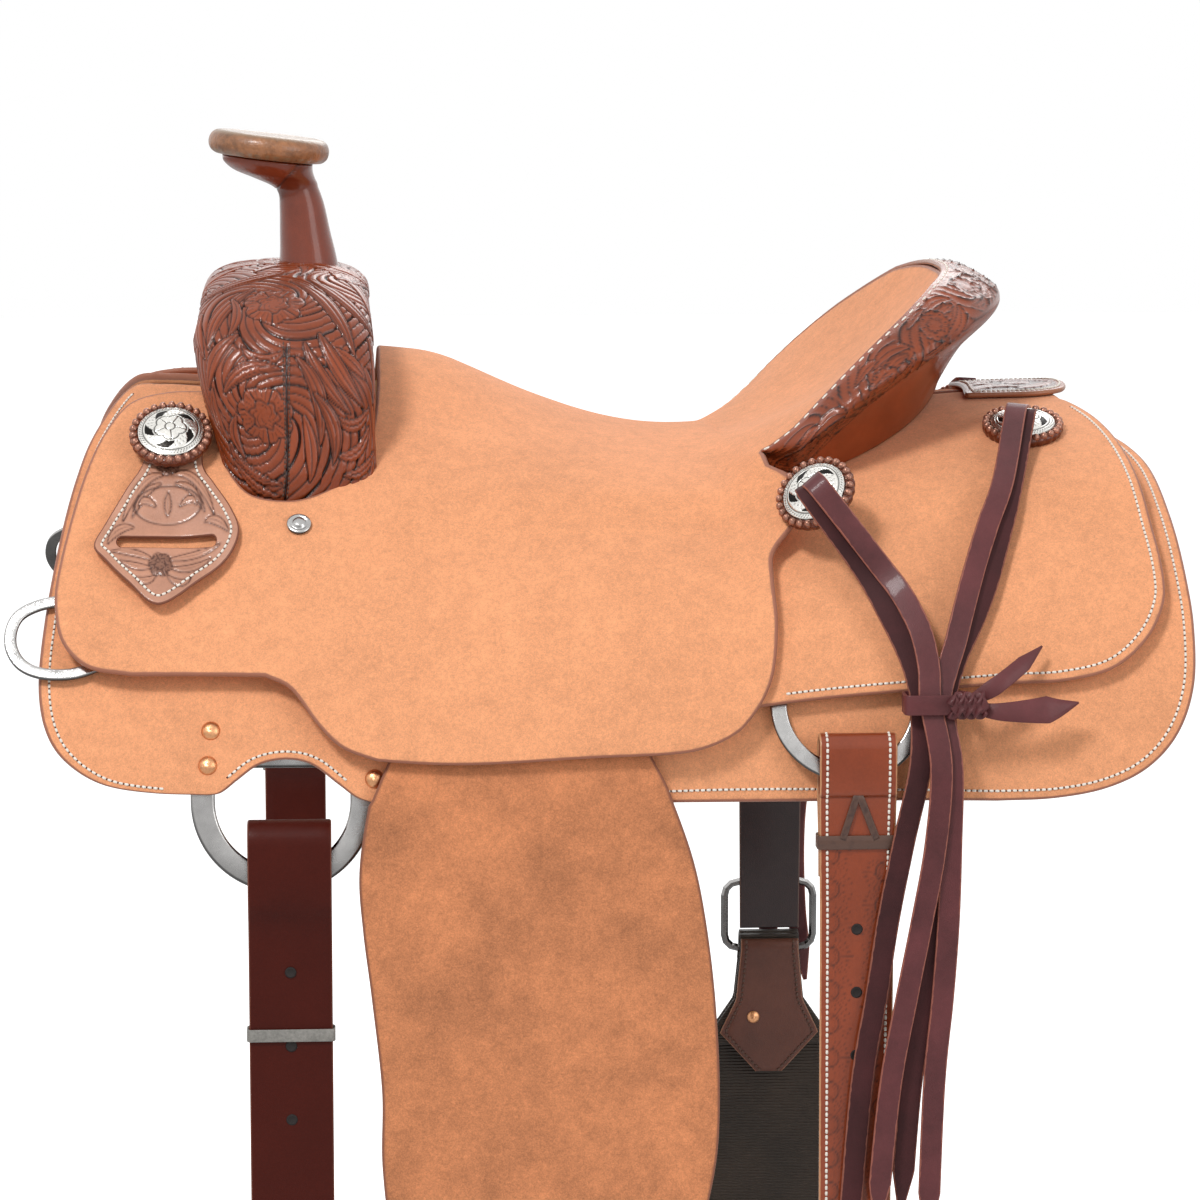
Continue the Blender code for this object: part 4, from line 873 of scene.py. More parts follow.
FENDER_THICK = 0.0038
FENDER_LEVEL = SKIRT_THICK + 0.0034
FENDER_LINES = (
    [(-84, 152), (-20, 152)],
    [(-20, 152), (-18, 200), (-16, 262), (2, 300), (17, 338), (28, 362), (42, 402), (50, 441),
     (56, 490), (59, 546), (57, 595), (46, 645), (30, 690), (10, 728), (-14, 752), (-52, 760),
     (-90, 752), (-114, 728), (-133, 690), (-146, 645), (-152, 595), (-152, 546), (-158, 487),
     (-163, 445), (-165, 408), (-159, 366), (-148, 322), (-134, 292), (-98, 258), (-86, 200),
     (-84, 152)])
fender_hide, tree, shader = finish_of("brushed_fender_leather", 0.9, Sheen_Weight=0.10,
                                      Sheen_Roughness=0.5)
fibre, edge = napped(tree, shader, (0.55, 0.205, 0.085), (15.0, 0.26, 1100.0, 0.22),
                     (90.0, 0.10, 380.0, 0.12), 0.0028, (0.27, 0.10, 0.055))[1:]
bump(tree, shader, fibre.outputs["Specks"], 0.0008, 0.8)

FENDER_X = -0.052
LEATHER_WIDTH, LEATHER_THICK = 0.072, 0.0030
BOLT_Z, BOLT_RADIUS = -0.648, 0.0095
OUTER_RUN = FORM_HALF_WIDTH + FENDER_LEVEL - 0.0008 - LEATHER_THICK / 2
INNER_RUN = OUTER_RUN - LEATHER_THICK - 0.0010
WRAP = BOLT_RADIUS + 0.0012 + LEATHER_THICK / 2
BOLT_Y = OUTER_RUN - WRAP
for side, word in SIDES:
    cut_line = trace(*FENDER_LINES, side=side, gap=0.003)
    fender = cut_leather("fender_panel_" + word, [cut_line], flat(FENDER_LEVEL + FENDER_THICK),
                         flat(FENDER_LEVEL), fender_hide, step=0.008, roll=0.0016)
    dressed(fender, "fender_" + word, word + "_fender")
    wrap = np.radians(np.linspace(0, -180, 17))
    run = [(OUTER_RUN, z) for z in (-0.185, -0.300, -0.400, -0.500, -0.560, BOLT_Z + 0.016)]
    run += [(BOLT_Y + WRAP * math.cos(a), BOLT_Z + WRAP * math.sin(a)) for a in wrap]
    run += [(BOLT_Y - WRAP + 0.001, BOLT_Z + 0.014), (INNER_RUN, -0.600), (INNER_RUN, -0.400),
            (INNER_RUN, -0.185)]
    path = evenly(np.array([(FENDER_X, -y * side, z) for y, z in run]), 0.004)
    leather = carried("stirrup_strap_" + word, path, (1, 0, 0),
                      rounded(LEATHER_WIDTH, LEATHER_THICK, 0.0012, 4, across=6), latigo_hide)
    dressed(leather, "stirrup_leather_" + word, word + "_fender")
    painted(steel, "stirrup_buckle_" + word, "stirrup_bolt_" + word)


# Stirrups
# Bent hardwood bows with a broad flat tread, each hung from a bolt in the loop of its strap.

wood, tree, shader = finish_of("oiled_hardwood", 0.38, Coat_Weight=0.3, Coat_Roughness=0.15)
stretched = put(tree, "ShaderNodeMapping", {"Vector": coordinates(tree),
                                            "Scale": (140.0, 420.0, 18.0)})
rings = noise(tree, stretched.outputs[0], 1.0, Detail=6.0, Roughness=0.65, Distortion=0.6)
tree.links.new(blend(tree, rings, (0.33, 0.15, 0.06), (0.55, 0.31, 0.14)),
               shader.inputs["Base Color"])
bump(tree, shader, rings, 0.0002)

STIRRUP_THICK, STIRRUP_DEPTH, STIRRUP_TREAD = 0.011, 0.050, 0.132
arm = LEATHER_WIDTH / 2 + 0.0035 + 0.0005 + STIRRUP_THICK / 2
TREAD_Z = BOLT_Z - 0.150
bow = [(-arm, BOLT_Z + 0.016), (-arm, BOLT_Z - 0.020), (-arm - 0.010, BOLT_Z - 0.050),
       (-arm - 0.021, TREAD_Z + 0.060), (-STIRRUP_TREAD / 2 + 0.001, TREAD_Z + 0.024),
       (-STIRRUP_TREAD / 2 + 0.014, TREAD_Z + 0.005), (-STIRRUP_TREAD / 2 + 0.032, TREAD_Z)]
bow += [(-u, v) for u, v in reversed(bow)]
for side, word in SIDES:
    path = smooth_line([(FENDER_X + u, -BOLT_Y * side, v) for u, v in bow], 0.004)
    rise = np.clip((path[:, 2] - TREAD_Z) / (BOLT_Z + 0.016 - TREAD_Z), 0, 1)
    stirrup = carried("stirrup_bow_" + word, path, (0, 1, 0),
                      rounded(STIRRUP_DEPTH, STIRRUP_THICK, 0.0038, 6, across=4), wood,
                      widths=STIRRUP_DEPTH * (1 - 0.45 * rise))
    dressed(stirrup, "stirrup_" + word, word + "_stirrup")


# Rear jockeys and rear plate
# Thinner roughout panels over the back of the skirts, stitched along their lower edges, and
# the small tooled plate that ties them across the spine behind the cantle.

BAR_THICK, BAR_GAP = 0.0093, 0.0024
JOCKEY_THICK, SEAT_THICK = 0.0038, 0.0042
JOCKEY_LEVEL = SKIRT_THICK + 0.0075
SEAT_LEVEL = JOCKEY_LEVEL + JOCKEY_THICK + 0.0054
BAR_TOP = SKIRT_THICK + BAR_GAP + BAR_THICK
SEAT_OVER_BARS = BAR_TOP + 0.0128
JOCKEY_OVER_BARS = BAR_TOP + 0.0017 + JOCKEY_THICK


def bar_edge(x):
    """The outer edge of the tree's bars: wider under the fork and toward the back."""
    front = 0.040 * np.exp(-(((x + 0.205) / 0.06) ** 4))
    return 0.125 + front + 0.012 * ease((x - 0.1) / 0.1)


def over_bars(x, s):
    """The share of the rise onto the bars: none on the skirts, whole over the bars."""
    return ease((bar_edge(x) + 0.050 - np.abs(s)) / 0.045)


def jockey_level(x, s):
    """The level of the rear jockeys' outer face."""
    low = JOCKEY_LEVEL + JOCKEY_THICK
    return low + (JOCKEY_OVER_BARS - low) * over_bars(x, s)


def jockey_top(x, s):
    """The rear jockeys' outer face."""
    return on_form(x, s, jockey_level(x, s))


def jockey_under(x, s):
    """The rear jockeys' inner face."""
    return on_form(x, s, jockey_level(x, s) - JOCKEY_THICK)


JOCKEY_LINES = (
    [(221, 5), (298, 5)], [(298, 5), (304, 38)],
    [(304, 38), (308, 44), (321, 76), (331, 117), (338, 174), (341, 217), (338, 240), (325, 263),
     (303, 281), (272, 289), (240, 291)],
    [(240, 291), (60, 312)], [(60, 312), (58, 150)],
    [(58, 150), (74, 133), (96, 122), (121, 124), (145, 114), (166, 100), (184, 83), (198, 64),
     (208, 44), (216, 22), (221, 5)])
for side, word in SIDES:
    cut_line = trace(*JOCKEY_LINES, side=side)
    jockey = cut_leather("rear_jockey_panel_" + word, [cut_line], jockey_top, jockey_under,
                         roughout, roll=0.0018)
    dressed(jockey, "rear_jockey_" + word)
    seam = run_inside(cut_line, 0.0062)
    seam = seam[(seam[:, 0] > 0.098) & ((seam[:, 0] > 0.306) | (np.abs(seam[:, 1]) > 0.24))]
    turn = np.argmax(np.linalg.norm(np.diff(seam, axis=0), axis=1))
    if np.linalg.norm(seam[turn + 1] - seam[turn]) > 0.02:
        seam = np.roll(seam, -turn - 1, 0)
    stitch_on("rear_jockey_stitches_" + word, jockey_top, seam, jockey)


# Tooling
# Cased leather carved with a swivel knife, then bevelled: leaves, stems and flowers stand up
# from a ground that is stamped down and takes the dark finish.

GROUND_HEIGHT, LEAF_LIFT = -0.55 * MM, 0.35


def grooves(value, width):
    """Cut lines where a value crosses zero: a bell of the value over a width."""
    return np.exp(-((value / width) ** 2))


def laid_leaf(u, v, height, dark, line, width, veins=3):
    """A carved leaf along a curve: width swells and tapers as a sine, its face is rounded,
    with lengthwise veins, and its border is cut and bevelled."""
    line = np.asarray(line, float)
    if len(line) == 3:
        t = np.linspace(0, 1, 25)[:, None]
        bend = 2 * line[1] - (line[0] + line[2]) / 2
        line = (1 - t) ** 2 * line[0] + 2 * t * (1 - t) * bend + t**2 * line[2]
    low, high = line.min(0) - width * 1.2, line.max(0) + width * 1.2
    near = np.flatnonzero((u > low[0]) & (u < high[0]) & (v > low[1]) & (v < high[1]))
    if not len(near):
        return
    p = np.stack([u[near], v[near]], 1)
    a, b = line[:-1], line[1:]
    span = b - a
    size = np.sum(span**2, 1)
    off = p[:, None] - a[None]
    share = np.clip(np.sum(off * span, 2) / size, 0, 1)
    gap = off - span * share[..., None]
    far = np.linalg.norm(gap, axis=2)
    best = far.argmin(1)
    rows = np.arange(len(near))
    d = far[rows, best]
    hand = np.sign(span[best, 0] * off[rows, best, 1] - span[best, 1] * off[rows, best, 0])
    t = (best + share[rows, best]) / len(a)
    half = width / 2 * np.sin(math.pi * np.clip(t * 0.94 + 0.05, 0, 1)) ** 0.75
    half = np.maximum(half, 0.25)
    q = hand * d / half
    inside = np.abs(q) < 1
    vein = grooves(np.sin(q * math.pi * veins / 2) * half / (math.pi * veins / 2), 0.40)
    vein = vein * np.clip(half / 2.2 - 0.35, 0, 1) * (np.abs(q) < 0.86)
    body = LEAF_LIFT * (1 - q**4) - 0.42 * vein
    rim = grooves(d - half, 0.42)
    bevel = np.clip(1 - (d - half) / 1.6, 0, 1) * (d >= half)
    h = height[near]
    h = np.where(inside, body * MM, h - 0.35 * MM * bevel)
    height[near] = h - 0.40 * MM * rim
    tone = np.where(inside, 0.04 + 0.72 * vein, dark[near])
    dark[near] = np.clip(tone + 0.75 * rim + 0.3 * bevel, 0, 1)


def laid_flower(u, v, height, dark, place, radius, petals=6, turn=0.3):
    """A carved flower: ruffled petals whose border is a power of a cosine round its eye, an
    inner scroll, and a beaded centre."""
    du, dv = u - place[0], v - place[1]
    r = np.hypot(du, dv) / radius
    near = np.flatnonzero(r < 1.25)
    r, a = r[near], np.arctan2(dv[near], du[near]) + turn
    border = 0.82 + 0.18 * np.abs(np.cos(a * petals / 2)) ** 0.7
    inner = 0.47 + 0.07 * np.cos(a * (petals - 1) + 0.8)
    crease = grooves(np.sin(a * petals / 2) * r, 0.09) * (r > inner)
    ruffle = 0.10 * np.cos(a * petals * 4) * np.clip((r - inner) * 3, 0, 1)
    h = 0.45 * (1 - (r / border) ** 6) + 0.25 * np.clip(1 - np.abs(r - inner) / 0.2, 0, 1) + ruffle
    h = h - 0.5 * crease - 0.5 * grooves(r - inner, 0.035)
    scroll = grooves(np.sin(3 * a - r * 16), 0.30) * (r < inner) * (r > 0.17)
    h = np.where(r < 0.17, 0.4 + 0.12 * np.cos(a * 5) * np.cos(r * 40), h - 0.25 * scroll)
    rim = grooves((r - border) * radius, 0.45)
    inside = r < border
    bevel = np.clip(1 - (r - border) * radius / 1.8, 0, 1) * ~inside
    old = height[near]
    height[near] = np.where(inside, h * MM, old - 0.35 * MM * bevel) - 0.40 * MM * rim
    fringe = grooves(np.sin(a * petals * 2), 0.35) * (r > inner + 0.12) * (r < border - 0.07)
    tone = 0.06 + 0.7 * crease + 0.6 * grooves(r - inner, 0.05) + 0.6 * scroll + 0.55 * fringe
    dark[near] = np.clip(np.where(inside, tone, dark[near] + 0.3 * bevel) + 0.8 * rim, 0, 1)


def stamped_ground(u, v):
    """The ground between motifs: stamped down, with a pebbled height from crossed sines."""
    pebble = np.sin(u * 5.1 + 1.3 * np.sin(v * 2.3)) * np.sin(v * 5.7 + 1.1 * np.sin(u * 2.9))
    return GROUND_HEIGHT + 0.10 * MM * pebble, 0.62 + 0.12 * pebble


def swirled_ground(u, v, flowers):
    """Long leaves that swirl round the nearest flower: curved ridges along spirals, where the
    turn about the flower plus the distance from it passes a whole number."""
    place = np.array([p[0] for p in flowers], float)
    size = np.array([p[1] for p in flowers], float)
    gap = np.hypot(u[:, None] - place[:, 0], v[:, None] - place[:, 1])
    near = (gap - size).argmin(1)
    rows = np.arange(len(u))
    r, seed = gap[rows, near] - size[near], near * 1.7
    a = np.arctan2(v - place[near, 1], u - place[near, 0])
    arms = np.where(size[near] > 15, 16, 11)
    p = (arms * a / (2 * math.pi) * np.where(near % 2, 1, -1) + r / 7.5
         + 0.25 * np.sin(3 * a + seed) + seed)
    share = np.abs(p - np.round(p))
    cut = grooves(share, 0.085)
    broad = grooves(np.abs(p / 3 - np.round(p / 3)), 0.05)
    pebble = stamped_ground(u, v)[1] - 0.62
    height = (-0.25 + 0.35 * np.sqrt(share * 2) - 0.45 * cut - 0.55 * broad) * MM
    return height, np.clip(0.10 + 0.75 * cut + 0.9 * broad + pebble * 0.5, 0, 1)


def leaves_of(*rows):
    """Leaves from rows of a first, a middle and a last point, a width and a count of veins."""
    return [(np.reshape(row[:6], (3, 2)), *row[6:]) for row in rows]


def tooled_face(u, v, leaves, flowers, ground=True, swirl=False):
    """Height and darkness over a tooled piece, from its motifs in the order they are cut."""
    if swirl:
        height, dark = swirled_ground(u, v, flowers)
    elif ground:
        height, dark = stamped_ground(u, v)
    else:
        height, dark = np.zeros(u.shape), np.full(u.shape, 0.08)
    for line, width, *rest in leaves:
        laid_leaf(u, v, height, dark, line, width, *rest)
    for place, radius, *rest in flowers:
        laid_flower(u, v, height, dark, place, radius, *rest)
    return height, dark


tooled_hide = oiled("tooled_chestnut", (0.270, 0.052, 0.014), (0.014, 0.003, 0.002),
                    (0.36, 0.14, 0.07), 0.28, coat=0.30, pore=1500.0, patch=0.22)

PLATE_THICK = 0.0036
plate_level = JOCKEY_OVER_BARS + 0.0008
plate_line = trace([(240, -34), (270, -36), (292, -34), (308, -24), (313, 0), (308, 24),
                    (292, 34), (270, 36), (240, 34)], [(240, 34), (243, 0), (240, -34)], gap=0.0015)
PLATE_LEAVES = [(line * [1, hand], width, veins) for line, width, veins in leaves_of(
    (246, 26, 262, 14, 284, 22, 11, 2), (304, 2, 292, 16, 276, 26, 9, 2),
    (246, 8, 256, 4, 266, 12, 8, 2)) for hand in (1, -1)]


def plate_relief(x, s):
    """The plate's tooling, a flower among leaves inside a plain border."""
    height, dark = tooled_face(x / MM, s / MM, PLATE_LEAVES, [((280, 0), 10.5)])
    field = ease((distances(np.stack([x, s], 1), plate_line) - 0.006) / 0.0012)
    return height * field, dark * field


rear_plate = cut_leather("rear_tie_plate", [plate_line], flat(plate_level + PLATE_THICK),
                         flat(plate_level), tooled_hide, step=0.0012, roll=0.0016,
                         relief=plate_relief)
dressed(rear_plate, "rear_plate")
seam = run_inside(plate_line, 0.0042)
stitch_on("rear_plate_stitches", flat(plate_level + PLATE_THICK), seam[seam[:, 0] > 0.246],
          rear_plate, pitch=0.0032)


# Seat
# One roughout piece from the front jockeys over the ground seat and up into the dish, shaped
# wet over the tree, cut out round the swells and sewn to the cantle's binding at its rim.

DISH_X, DISH_LENGTH, DISH_HALF_WIDTH = 0.070, 0.1555, 0.157
DISH_PINCH, DISH_POWER, DISH_CURVE = 0.27, 2.6, 2.6
CANTLE_TOP_Z = 0.152
RIM_X = [0.070, 0.085, 0.100, 0.115, 0.130, 0.145, 0.160, 0.175, 0.190, 0.210, 0.2255]
RIM_Z = [0.030, 0.036, 0.044, 0.057, 0.073, 0.088, 0.102, 0.115, 0.127, 0.143, CANTLE_TOP_Z]
CROWN_X = [-0.20, -0.148, -0.111, -0.081, -0.060, -0.040, -0.009, 0.018, 0.040, 0.075, 0.3]
CROWN_Z = [0.100, 0.098, 0.094, 0.081, 0.071, 0.063, 0.052, 0.0455, 0.043, 0.043, 0.043]


def eased_steps(x, stations, heights, spread=0.006):
    """A table read at x and averaged over a spread, so that its corners are round."""
    return sum(np.interp(x + spread * k, stations, heights) for k in (-2, -1, 0, 1, 2)) / 5


def pattern_s(x, y, level):
    """The inverse of the form's y: the distance round the form to a plan point."""
    share = np.clip(np.abs(y) / (half_width(x) + level), 0, 1)
    return -np.sign(y) * FORM_REACH * 2 / math.pi * np.arcsin(share)


def form_height(x, y, level):
    """The height of a level over the form at a plan point."""
    return on_form(x, np.abs(pattern_s(x, -y, level)), level)[..., 2]


def pinch(x):
    """The share of the dish's width left where its front end draws in."""
    return 1 - DISH_PINCH * np.clip((0.125 - x) / 0.055, 0, 1) ** 2


def rim_plan(angle):
    """Plan of the rim: a superellipse whose ends draw in."""
    c, s = np.cos(angle), np.sin(angle)
    reach = (np.abs(c) ** DISH_POWER + np.abs(s) ** DISH_POWER) ** (-1 / DISH_POWER)
    x = DISH_X + DISH_LENGTH * reach * c
    return x, DISH_HALF_WIDTH * pinch(x) * reach * s


def seat_level(x, s):
    """The seat leather's level where it lies on the skirts and over the bars."""
    return SEAT_LEVEL + (SEAT_OVER_BARS - SEAT_LEVEL) * over_bars(x, s)


def seat_surface(x, s):
    """The seat leather's face there."""
    return on_form(x, s, seat_level(x, s))


def seat_top(x, s):
    """The seat's face: a level over bars or skirts, a crown that follows the middle line, and
    past the dish's start a lift to the rim as a power of the share of the way to it."""
    x, s = np.broadcast_arrays(np.asarray(x, float), np.asarray(s, float))
    level = seat_level(x, s)
    crown = np.where(x < 0.075, eased_steps(x, CROWN_X, CROWN_Z) - ridge(x), SEAT_OVER_BARS - 0.003)
    inner = ease((0.085 - np.abs(s)) / 0.085)
    level = level + (np.maximum(crown, SEAT_OVER_BARS - 0.003) - SEAT_OVER_BARS) * inner
    point = on_form(x, s, level)
    across = np.abs(point[..., 1]) / (DISH_HALF_WIDTH * pinch(x))
    along = np.maximum(x - DISH_X, 0) / DISH_LENGTH
    share = (along**DISH_POWER + across**DISH_POWER) ** (1 / DISH_POWER)
    rim_x, rim_y = rim_plan(np.arctan2(across, along))
    base = form_height(rim_x, rim_y, SEAT_OVER_BARS)
    height = np.maximum(np.interp(rim_x, RIM_X, RIM_Z) - base, 0)
    point[..., 2] += np.where(x > DISH_X, height * np.minimum(share, 1.02) ** DISH_CURVE, 0.0)
    return point


def inward(surface, depth):
    """A surface moved into the leather by a depth along its own normal."""
    return lambda x, s: surface(x, s) - normals_of(surface, x, s) * depth


SEAT_LINES = (
    [(-149, 0), (-150, 60), (-154, 96), (-161, 118), (-172, 133), (-191, 145), (-210, 150),
     (-232, 147), (-246, 130), (-254, 106), (-259, 84), (-261, 76)],
    [(-261, 76), (-286, 78), (-309, 87), (-325, 110), (-336, 137), (-345, 165), (-351, 192),
     (-353, 213), (-348, 236), (-332, 252), (-305, 257)],
    [(-305, 257), (-222, 256)],
    [(-222, 256), (-206, 264), (-190, 287), (-175, 304), (-154, 315)],
    [(-154, 315), (-104, 323), (-38, 330), (20, 336), (50, 334), (74, 322), (90, 301),
     (95, 266), (94, 232), (95, 211), (106, 202), (118, 192)],
    [(118, 192), (109, 162), (97, 141)])
RIM_SHARE = 0.997
half_line = trace(*SEAT_LINES)
CANTLE_END = 81
rim_x, rim_y = rim_plan(np.radians(np.linspace(CANTLE_END, -CANTLE_END, 220)))
rim_x, rim_y = DISH_X + (rim_x - DISH_X) * RIM_SHARE, rim_y * RIM_SHARE
rim = np.stack([rim_x, -pattern_s(rim_x, rim_y, SEAT_OVER_BARS)], 1)
whole = evenly(np.vstack([half_line, rim, half_line[::-1] * [1, -1]]), 0.0026)
whole = whole[np.linalg.norm(whole - np.roll(whole, 1, 0), axis=1) > 0.0008]
seat = cut_leather("seat_panel", [whole], seat_top, inward(seat_top, SEAT_THICK), roughout,
                   step=0.006, roll=0.0020)
dressed(seat, "seat_leather")


# Cantle
# A chestnut binding stitched to the seat's rim, rolled over the cantle's edge with a carved
# band, then plain and glossy down the back to the jockeys.

ROLL_WIDTH, END_WIDTH, CANTLE_TUCK, CANTLE_LEATHER = 0.039, 0.006, 0.015, 0.0032
CANTLE_CURVE = np.array([(0.0, 0.0), (0.35, -0.03), (0.74, -0.24), (1.0, -0.50), (0.96, -0.82),
                         (0.50, -1.38), (0.16, -2.10)])
CANTLE_TUCKS = np.array([0, 0, 0, 0, 0.1, 0.4, 0.75])


def spaced(lines, rows, last=-1):
    """Lines of a grid read at evenly spaced lengths from the first point to the last, and
    those lengths."""
    run = lengths(lines)
    pick = np.arange(len(lines))[:, None]
    places = np.linspace(0, 1, rows) * run[pick[:, 0], last][:, None]
    step = np.stack([np.searchsorted(r, p).clip(1, len(r) - 1) for r, p in zip(run, places)])
    low, high = run[pick, step - 1], run[pick, step]
    w = ((places - low) / np.maximum(high - low, 1e-12)).clip(0, 1)[..., None]
    return lines[pick, step - 1] * (1 - w) + lines[pick, step] * w, places


def cantle_sheet(angle, rows, inset=0.0):
    """The cantle's back in radial planes: points from the rim seam over the roll to the foot,
    scaled by the roll's width there, joined by a smooth curve and spaced evenly."""
    rim_x, rim_y = rim_plan(angle)
    top = np.interp(rim_x, RIM_X, RIM_Z)
    roll = END_WIDTH + (ROLL_WIDTH - END_WIDTH) * np.maximum(np.cos(angle), 0.0)
    roll = roll * (0.12 + 0.88 * ease((np.radians(81.5) - np.abs(angle)) / np.radians(9)))
    out = unit(np.stack([np.cos(angle) / DISH_LENGTH, np.sin(angle) / DISH_HALF_WIDTH], 1))
    foot_level = JOCKEY_OVER_BARS + 0.0010
    tuck = CANTLE_TUCK * np.abs(np.sin(2 * angle))
    foot = np.stack([rim_x, rim_y], 1) - out * tuck[:, None]
    base = form_height(foot[:, 0], foot[:, 1], foot_level)
    scale = np.minimum(1.0, np.maximum(top - base, 0.004) / (2.6 * roll))
    o, h = CANTLE_CURVE[:, 0], CANTLE_CURVE[:, 1]
    offset = o * roll[:, None] - CANTLE_TUCKS * tuck[:, None]
    height = h * (roll * scale)[:, None]
    offset = offset - inset * (0.3 + 0.7 * np.minimum(o * 2, 1))
    height = height - inset * np.maximum(1.0 + h * 1.1, -0.4)
    offset = np.hstack([offset, (-tuck - inset)[:, None]])
    z = np.hstack([top[:, None] + height, base[:, None]])
    table = np.stack([rim_x[:, None] + out[:, :1] * offset,
                      rim_y[:, None] + out[:, 1:] * offset, z], 2)
    return spaced(catmull_rom(table, 16), rows)


def sheet_normals(grid):
    """Unit normals of a grid of points, from differences along and across it."""
    return unit(np.cross(np.gradient(grid, axis=1), np.gradient(grid, axis=0)))


def skin(name, outer, inner, finish, values):
    """A thick skin between two matching grids, its four edges closed by straight walls."""
    rows, columns = outer.shape[:2]
    count = rows * columns
    i, j = np.meshgrid(np.arange(rows - 1), np.arange(columns - 1), indexing="ij")
    a = (i * columns + j).reshape(-1)
    quads = np.stack([a, a + 1, a + columns + 1, a + columns], 1)
    edge = np.concatenate([np.arange(columns), np.arange(1, rows) * columns + columns - 1,
                           (rows - 1) * columns + np.arange(columns - 2, -1, -1),
                           np.arange(rows - 2, 0, -1) * columns])
    nxt = np.roll(edge, -1)
    wall = np.stack([edge, edge + count, nxt + count, nxt], 1)
    faces = np.vstack([quads, quads[:, ::-1] + count, wall])
    both = {key: np.concatenate([np.ravel(v), np.ravel(v) * 0]) for key, v in values.items()}
    return mesh_of(name, np.stack([outer, inner]), faces, finish, values=both)


CANTLE_COLUMNS, CANTLE_ROWS = 420, 110
cantle_angle = np.radians(np.linspace(-CANTLE_END, CANTLE_END, CANTLE_COLUMNS))
outer, down_run = cantle_sheet(cantle_angle, CANTLE_ROWS)
inner, _ = cantle_sheet(cantle_angle, CANTLE_ROWS, CANTLE_LEATHER)
rim_run = lengths(outer[:, 0])
rim_run -= rim_run[-1] / 2
cantle_u = np.broadcast_to(rim_run[:, None], down_run.shape) / MM
cantle_v = down_run / MM
band = np.interp(np.abs(cantle_u), [0, 110, 180, 238, 255], [42, 42, 52, 54, 40])
CANTLE_SPRAY = leaves_of((0, -4, 13, -12, 27, -9, 9, 2), (0, 4, 12, 14, 28, 12, 10, 2),
                         (4, 0, 15, -2, 28, 2, 9, 3), (22, -13, 30, -14, 42, -10, 7, 1),
                         (22, 16, 32, 18, 44, 14, 7, 1))
CANTLE_LEAVES = [((line + [u, v]) * [hand, 1], width, veins) for hand in (1, -1)
                 for u, v in ((0, 20), (52, 20), (105, 23), (156, 27), (209, 32))
                 for line, width, veins in CANTLE_SPRAY]
CANTLE_FLOWERS = [((hand * u, v), 11.5, 8) for hand in (1, -1)
                  for u, v in ((26, 21), (78, 22), (131, 24), (181, 32), (238, 34))]
height, dark = tooled_face(cantle_u.reshape(-1), cantle_v.reshape(-1), CANTLE_LEAVES,
                           CANTLE_FLOWERS, swirl=True)
height, dark = height.reshape(band.shape), dark.reshape(band.shape)
inside_band = ease((band - cantle_v) / 0.9) * ease((cantle_v - 5.2) / 0.8)
border = grooves(cantle_v - band - 0.4, 0.5) + grooves(cantle_v - band - 2.0, 0.45) * 0.7
height = height * inside_band - 0.45 * MM * border
dark = dark * inside_band + 0.75 * border * (1 - inside_band)
outer = outer + sheet_normals(outer) * height[..., None] * -1
edge = np.minimum(down_run, (down_run[:, -1:] - down_run)) + 0.0004
cantle = skin("cantle_binding", outer, inner, tooled_hide,
              {"edge": edge, "dark": np.clip(dark, 0, 1)})
dressed(cantle, "cantle_back")
LACE_ROW = 3
joined(stitched("cantle_lacing", outer[:, LACE_ROW], -sheet_normals(outer)[:, LACE_ROW], thread,
                pitch=0.0085, length=0.0046, thick=0.0018), cantle)


# Swells
# The fork's cover of chestnut leather, stretched wet over the tree and carved all over with
# leaves and flowers, its two halves sewn down the middle of each swell.

dark_thread = finish_of("waxed_dark_thread", 0.6, Base_Color=(0.085, 0.040, 0.026, 1))[0]
SWELL_HALF_WIDTH, SWELL_TOP_Z = 0.160, 0.154
GULLET_HALF_WIDTH, GULLET_TOP_Z = 0.112, 0.110
COVER_THICK = 0.0030
SWELL_LENGTHS = [0.0, 0.030, 0.050, 0.070, 0.090, 0.130, 0.150]
SWELL_HALVES = [0.0480, 0.0480, 0.0490, 0.0510, 0.0540, 0.0570, 0.0540]
SWELL_LEAN = [-0.1985, -0.1990, -0.2010, -0.2035, -0.2060, -0.2100, -0.2090]


def level_of(points):
    """The level of points over the form, by halving the span that holds it."""
    low, high = np.full(points.shape[:-1], -0.05), np.full(points.shape[:-1], 0.4)
    x, y, z = points[..., 0], np.abs(points[..., 1]), points[..., 2]
    wide, tall, power = half_width(x), ridge(x) - FORM_BASE_Z, fullness(x)
    for _ in range(26):
        middle = (low + high) / 2
        outside = ((y / (wide + middle)) ** power
                   + (np.maximum(z - FORM_BASE_Z, 0) / (tall + middle)) ** power) > 1
        low, high = np.where(outside, middle, low), np.where(outside, high, middle)
    return low


def arch(half, top, foot, power, feet):
    """Half an arch in (y, z), 240 points: a superellipse's quarter, then straight to its feet."""
    a = np.linspace(0, math.pi / 2, 60)
    line = np.stack([half * np.sin(a) ** power, foot + (top - foot) * np.cos(a) ** power], 1)
    line = evenly(np.vstack([line, feet]), 0.001)
    return read_at(np.linspace(0, 1, 240), np.linspace(0, 1, len(line)), line)


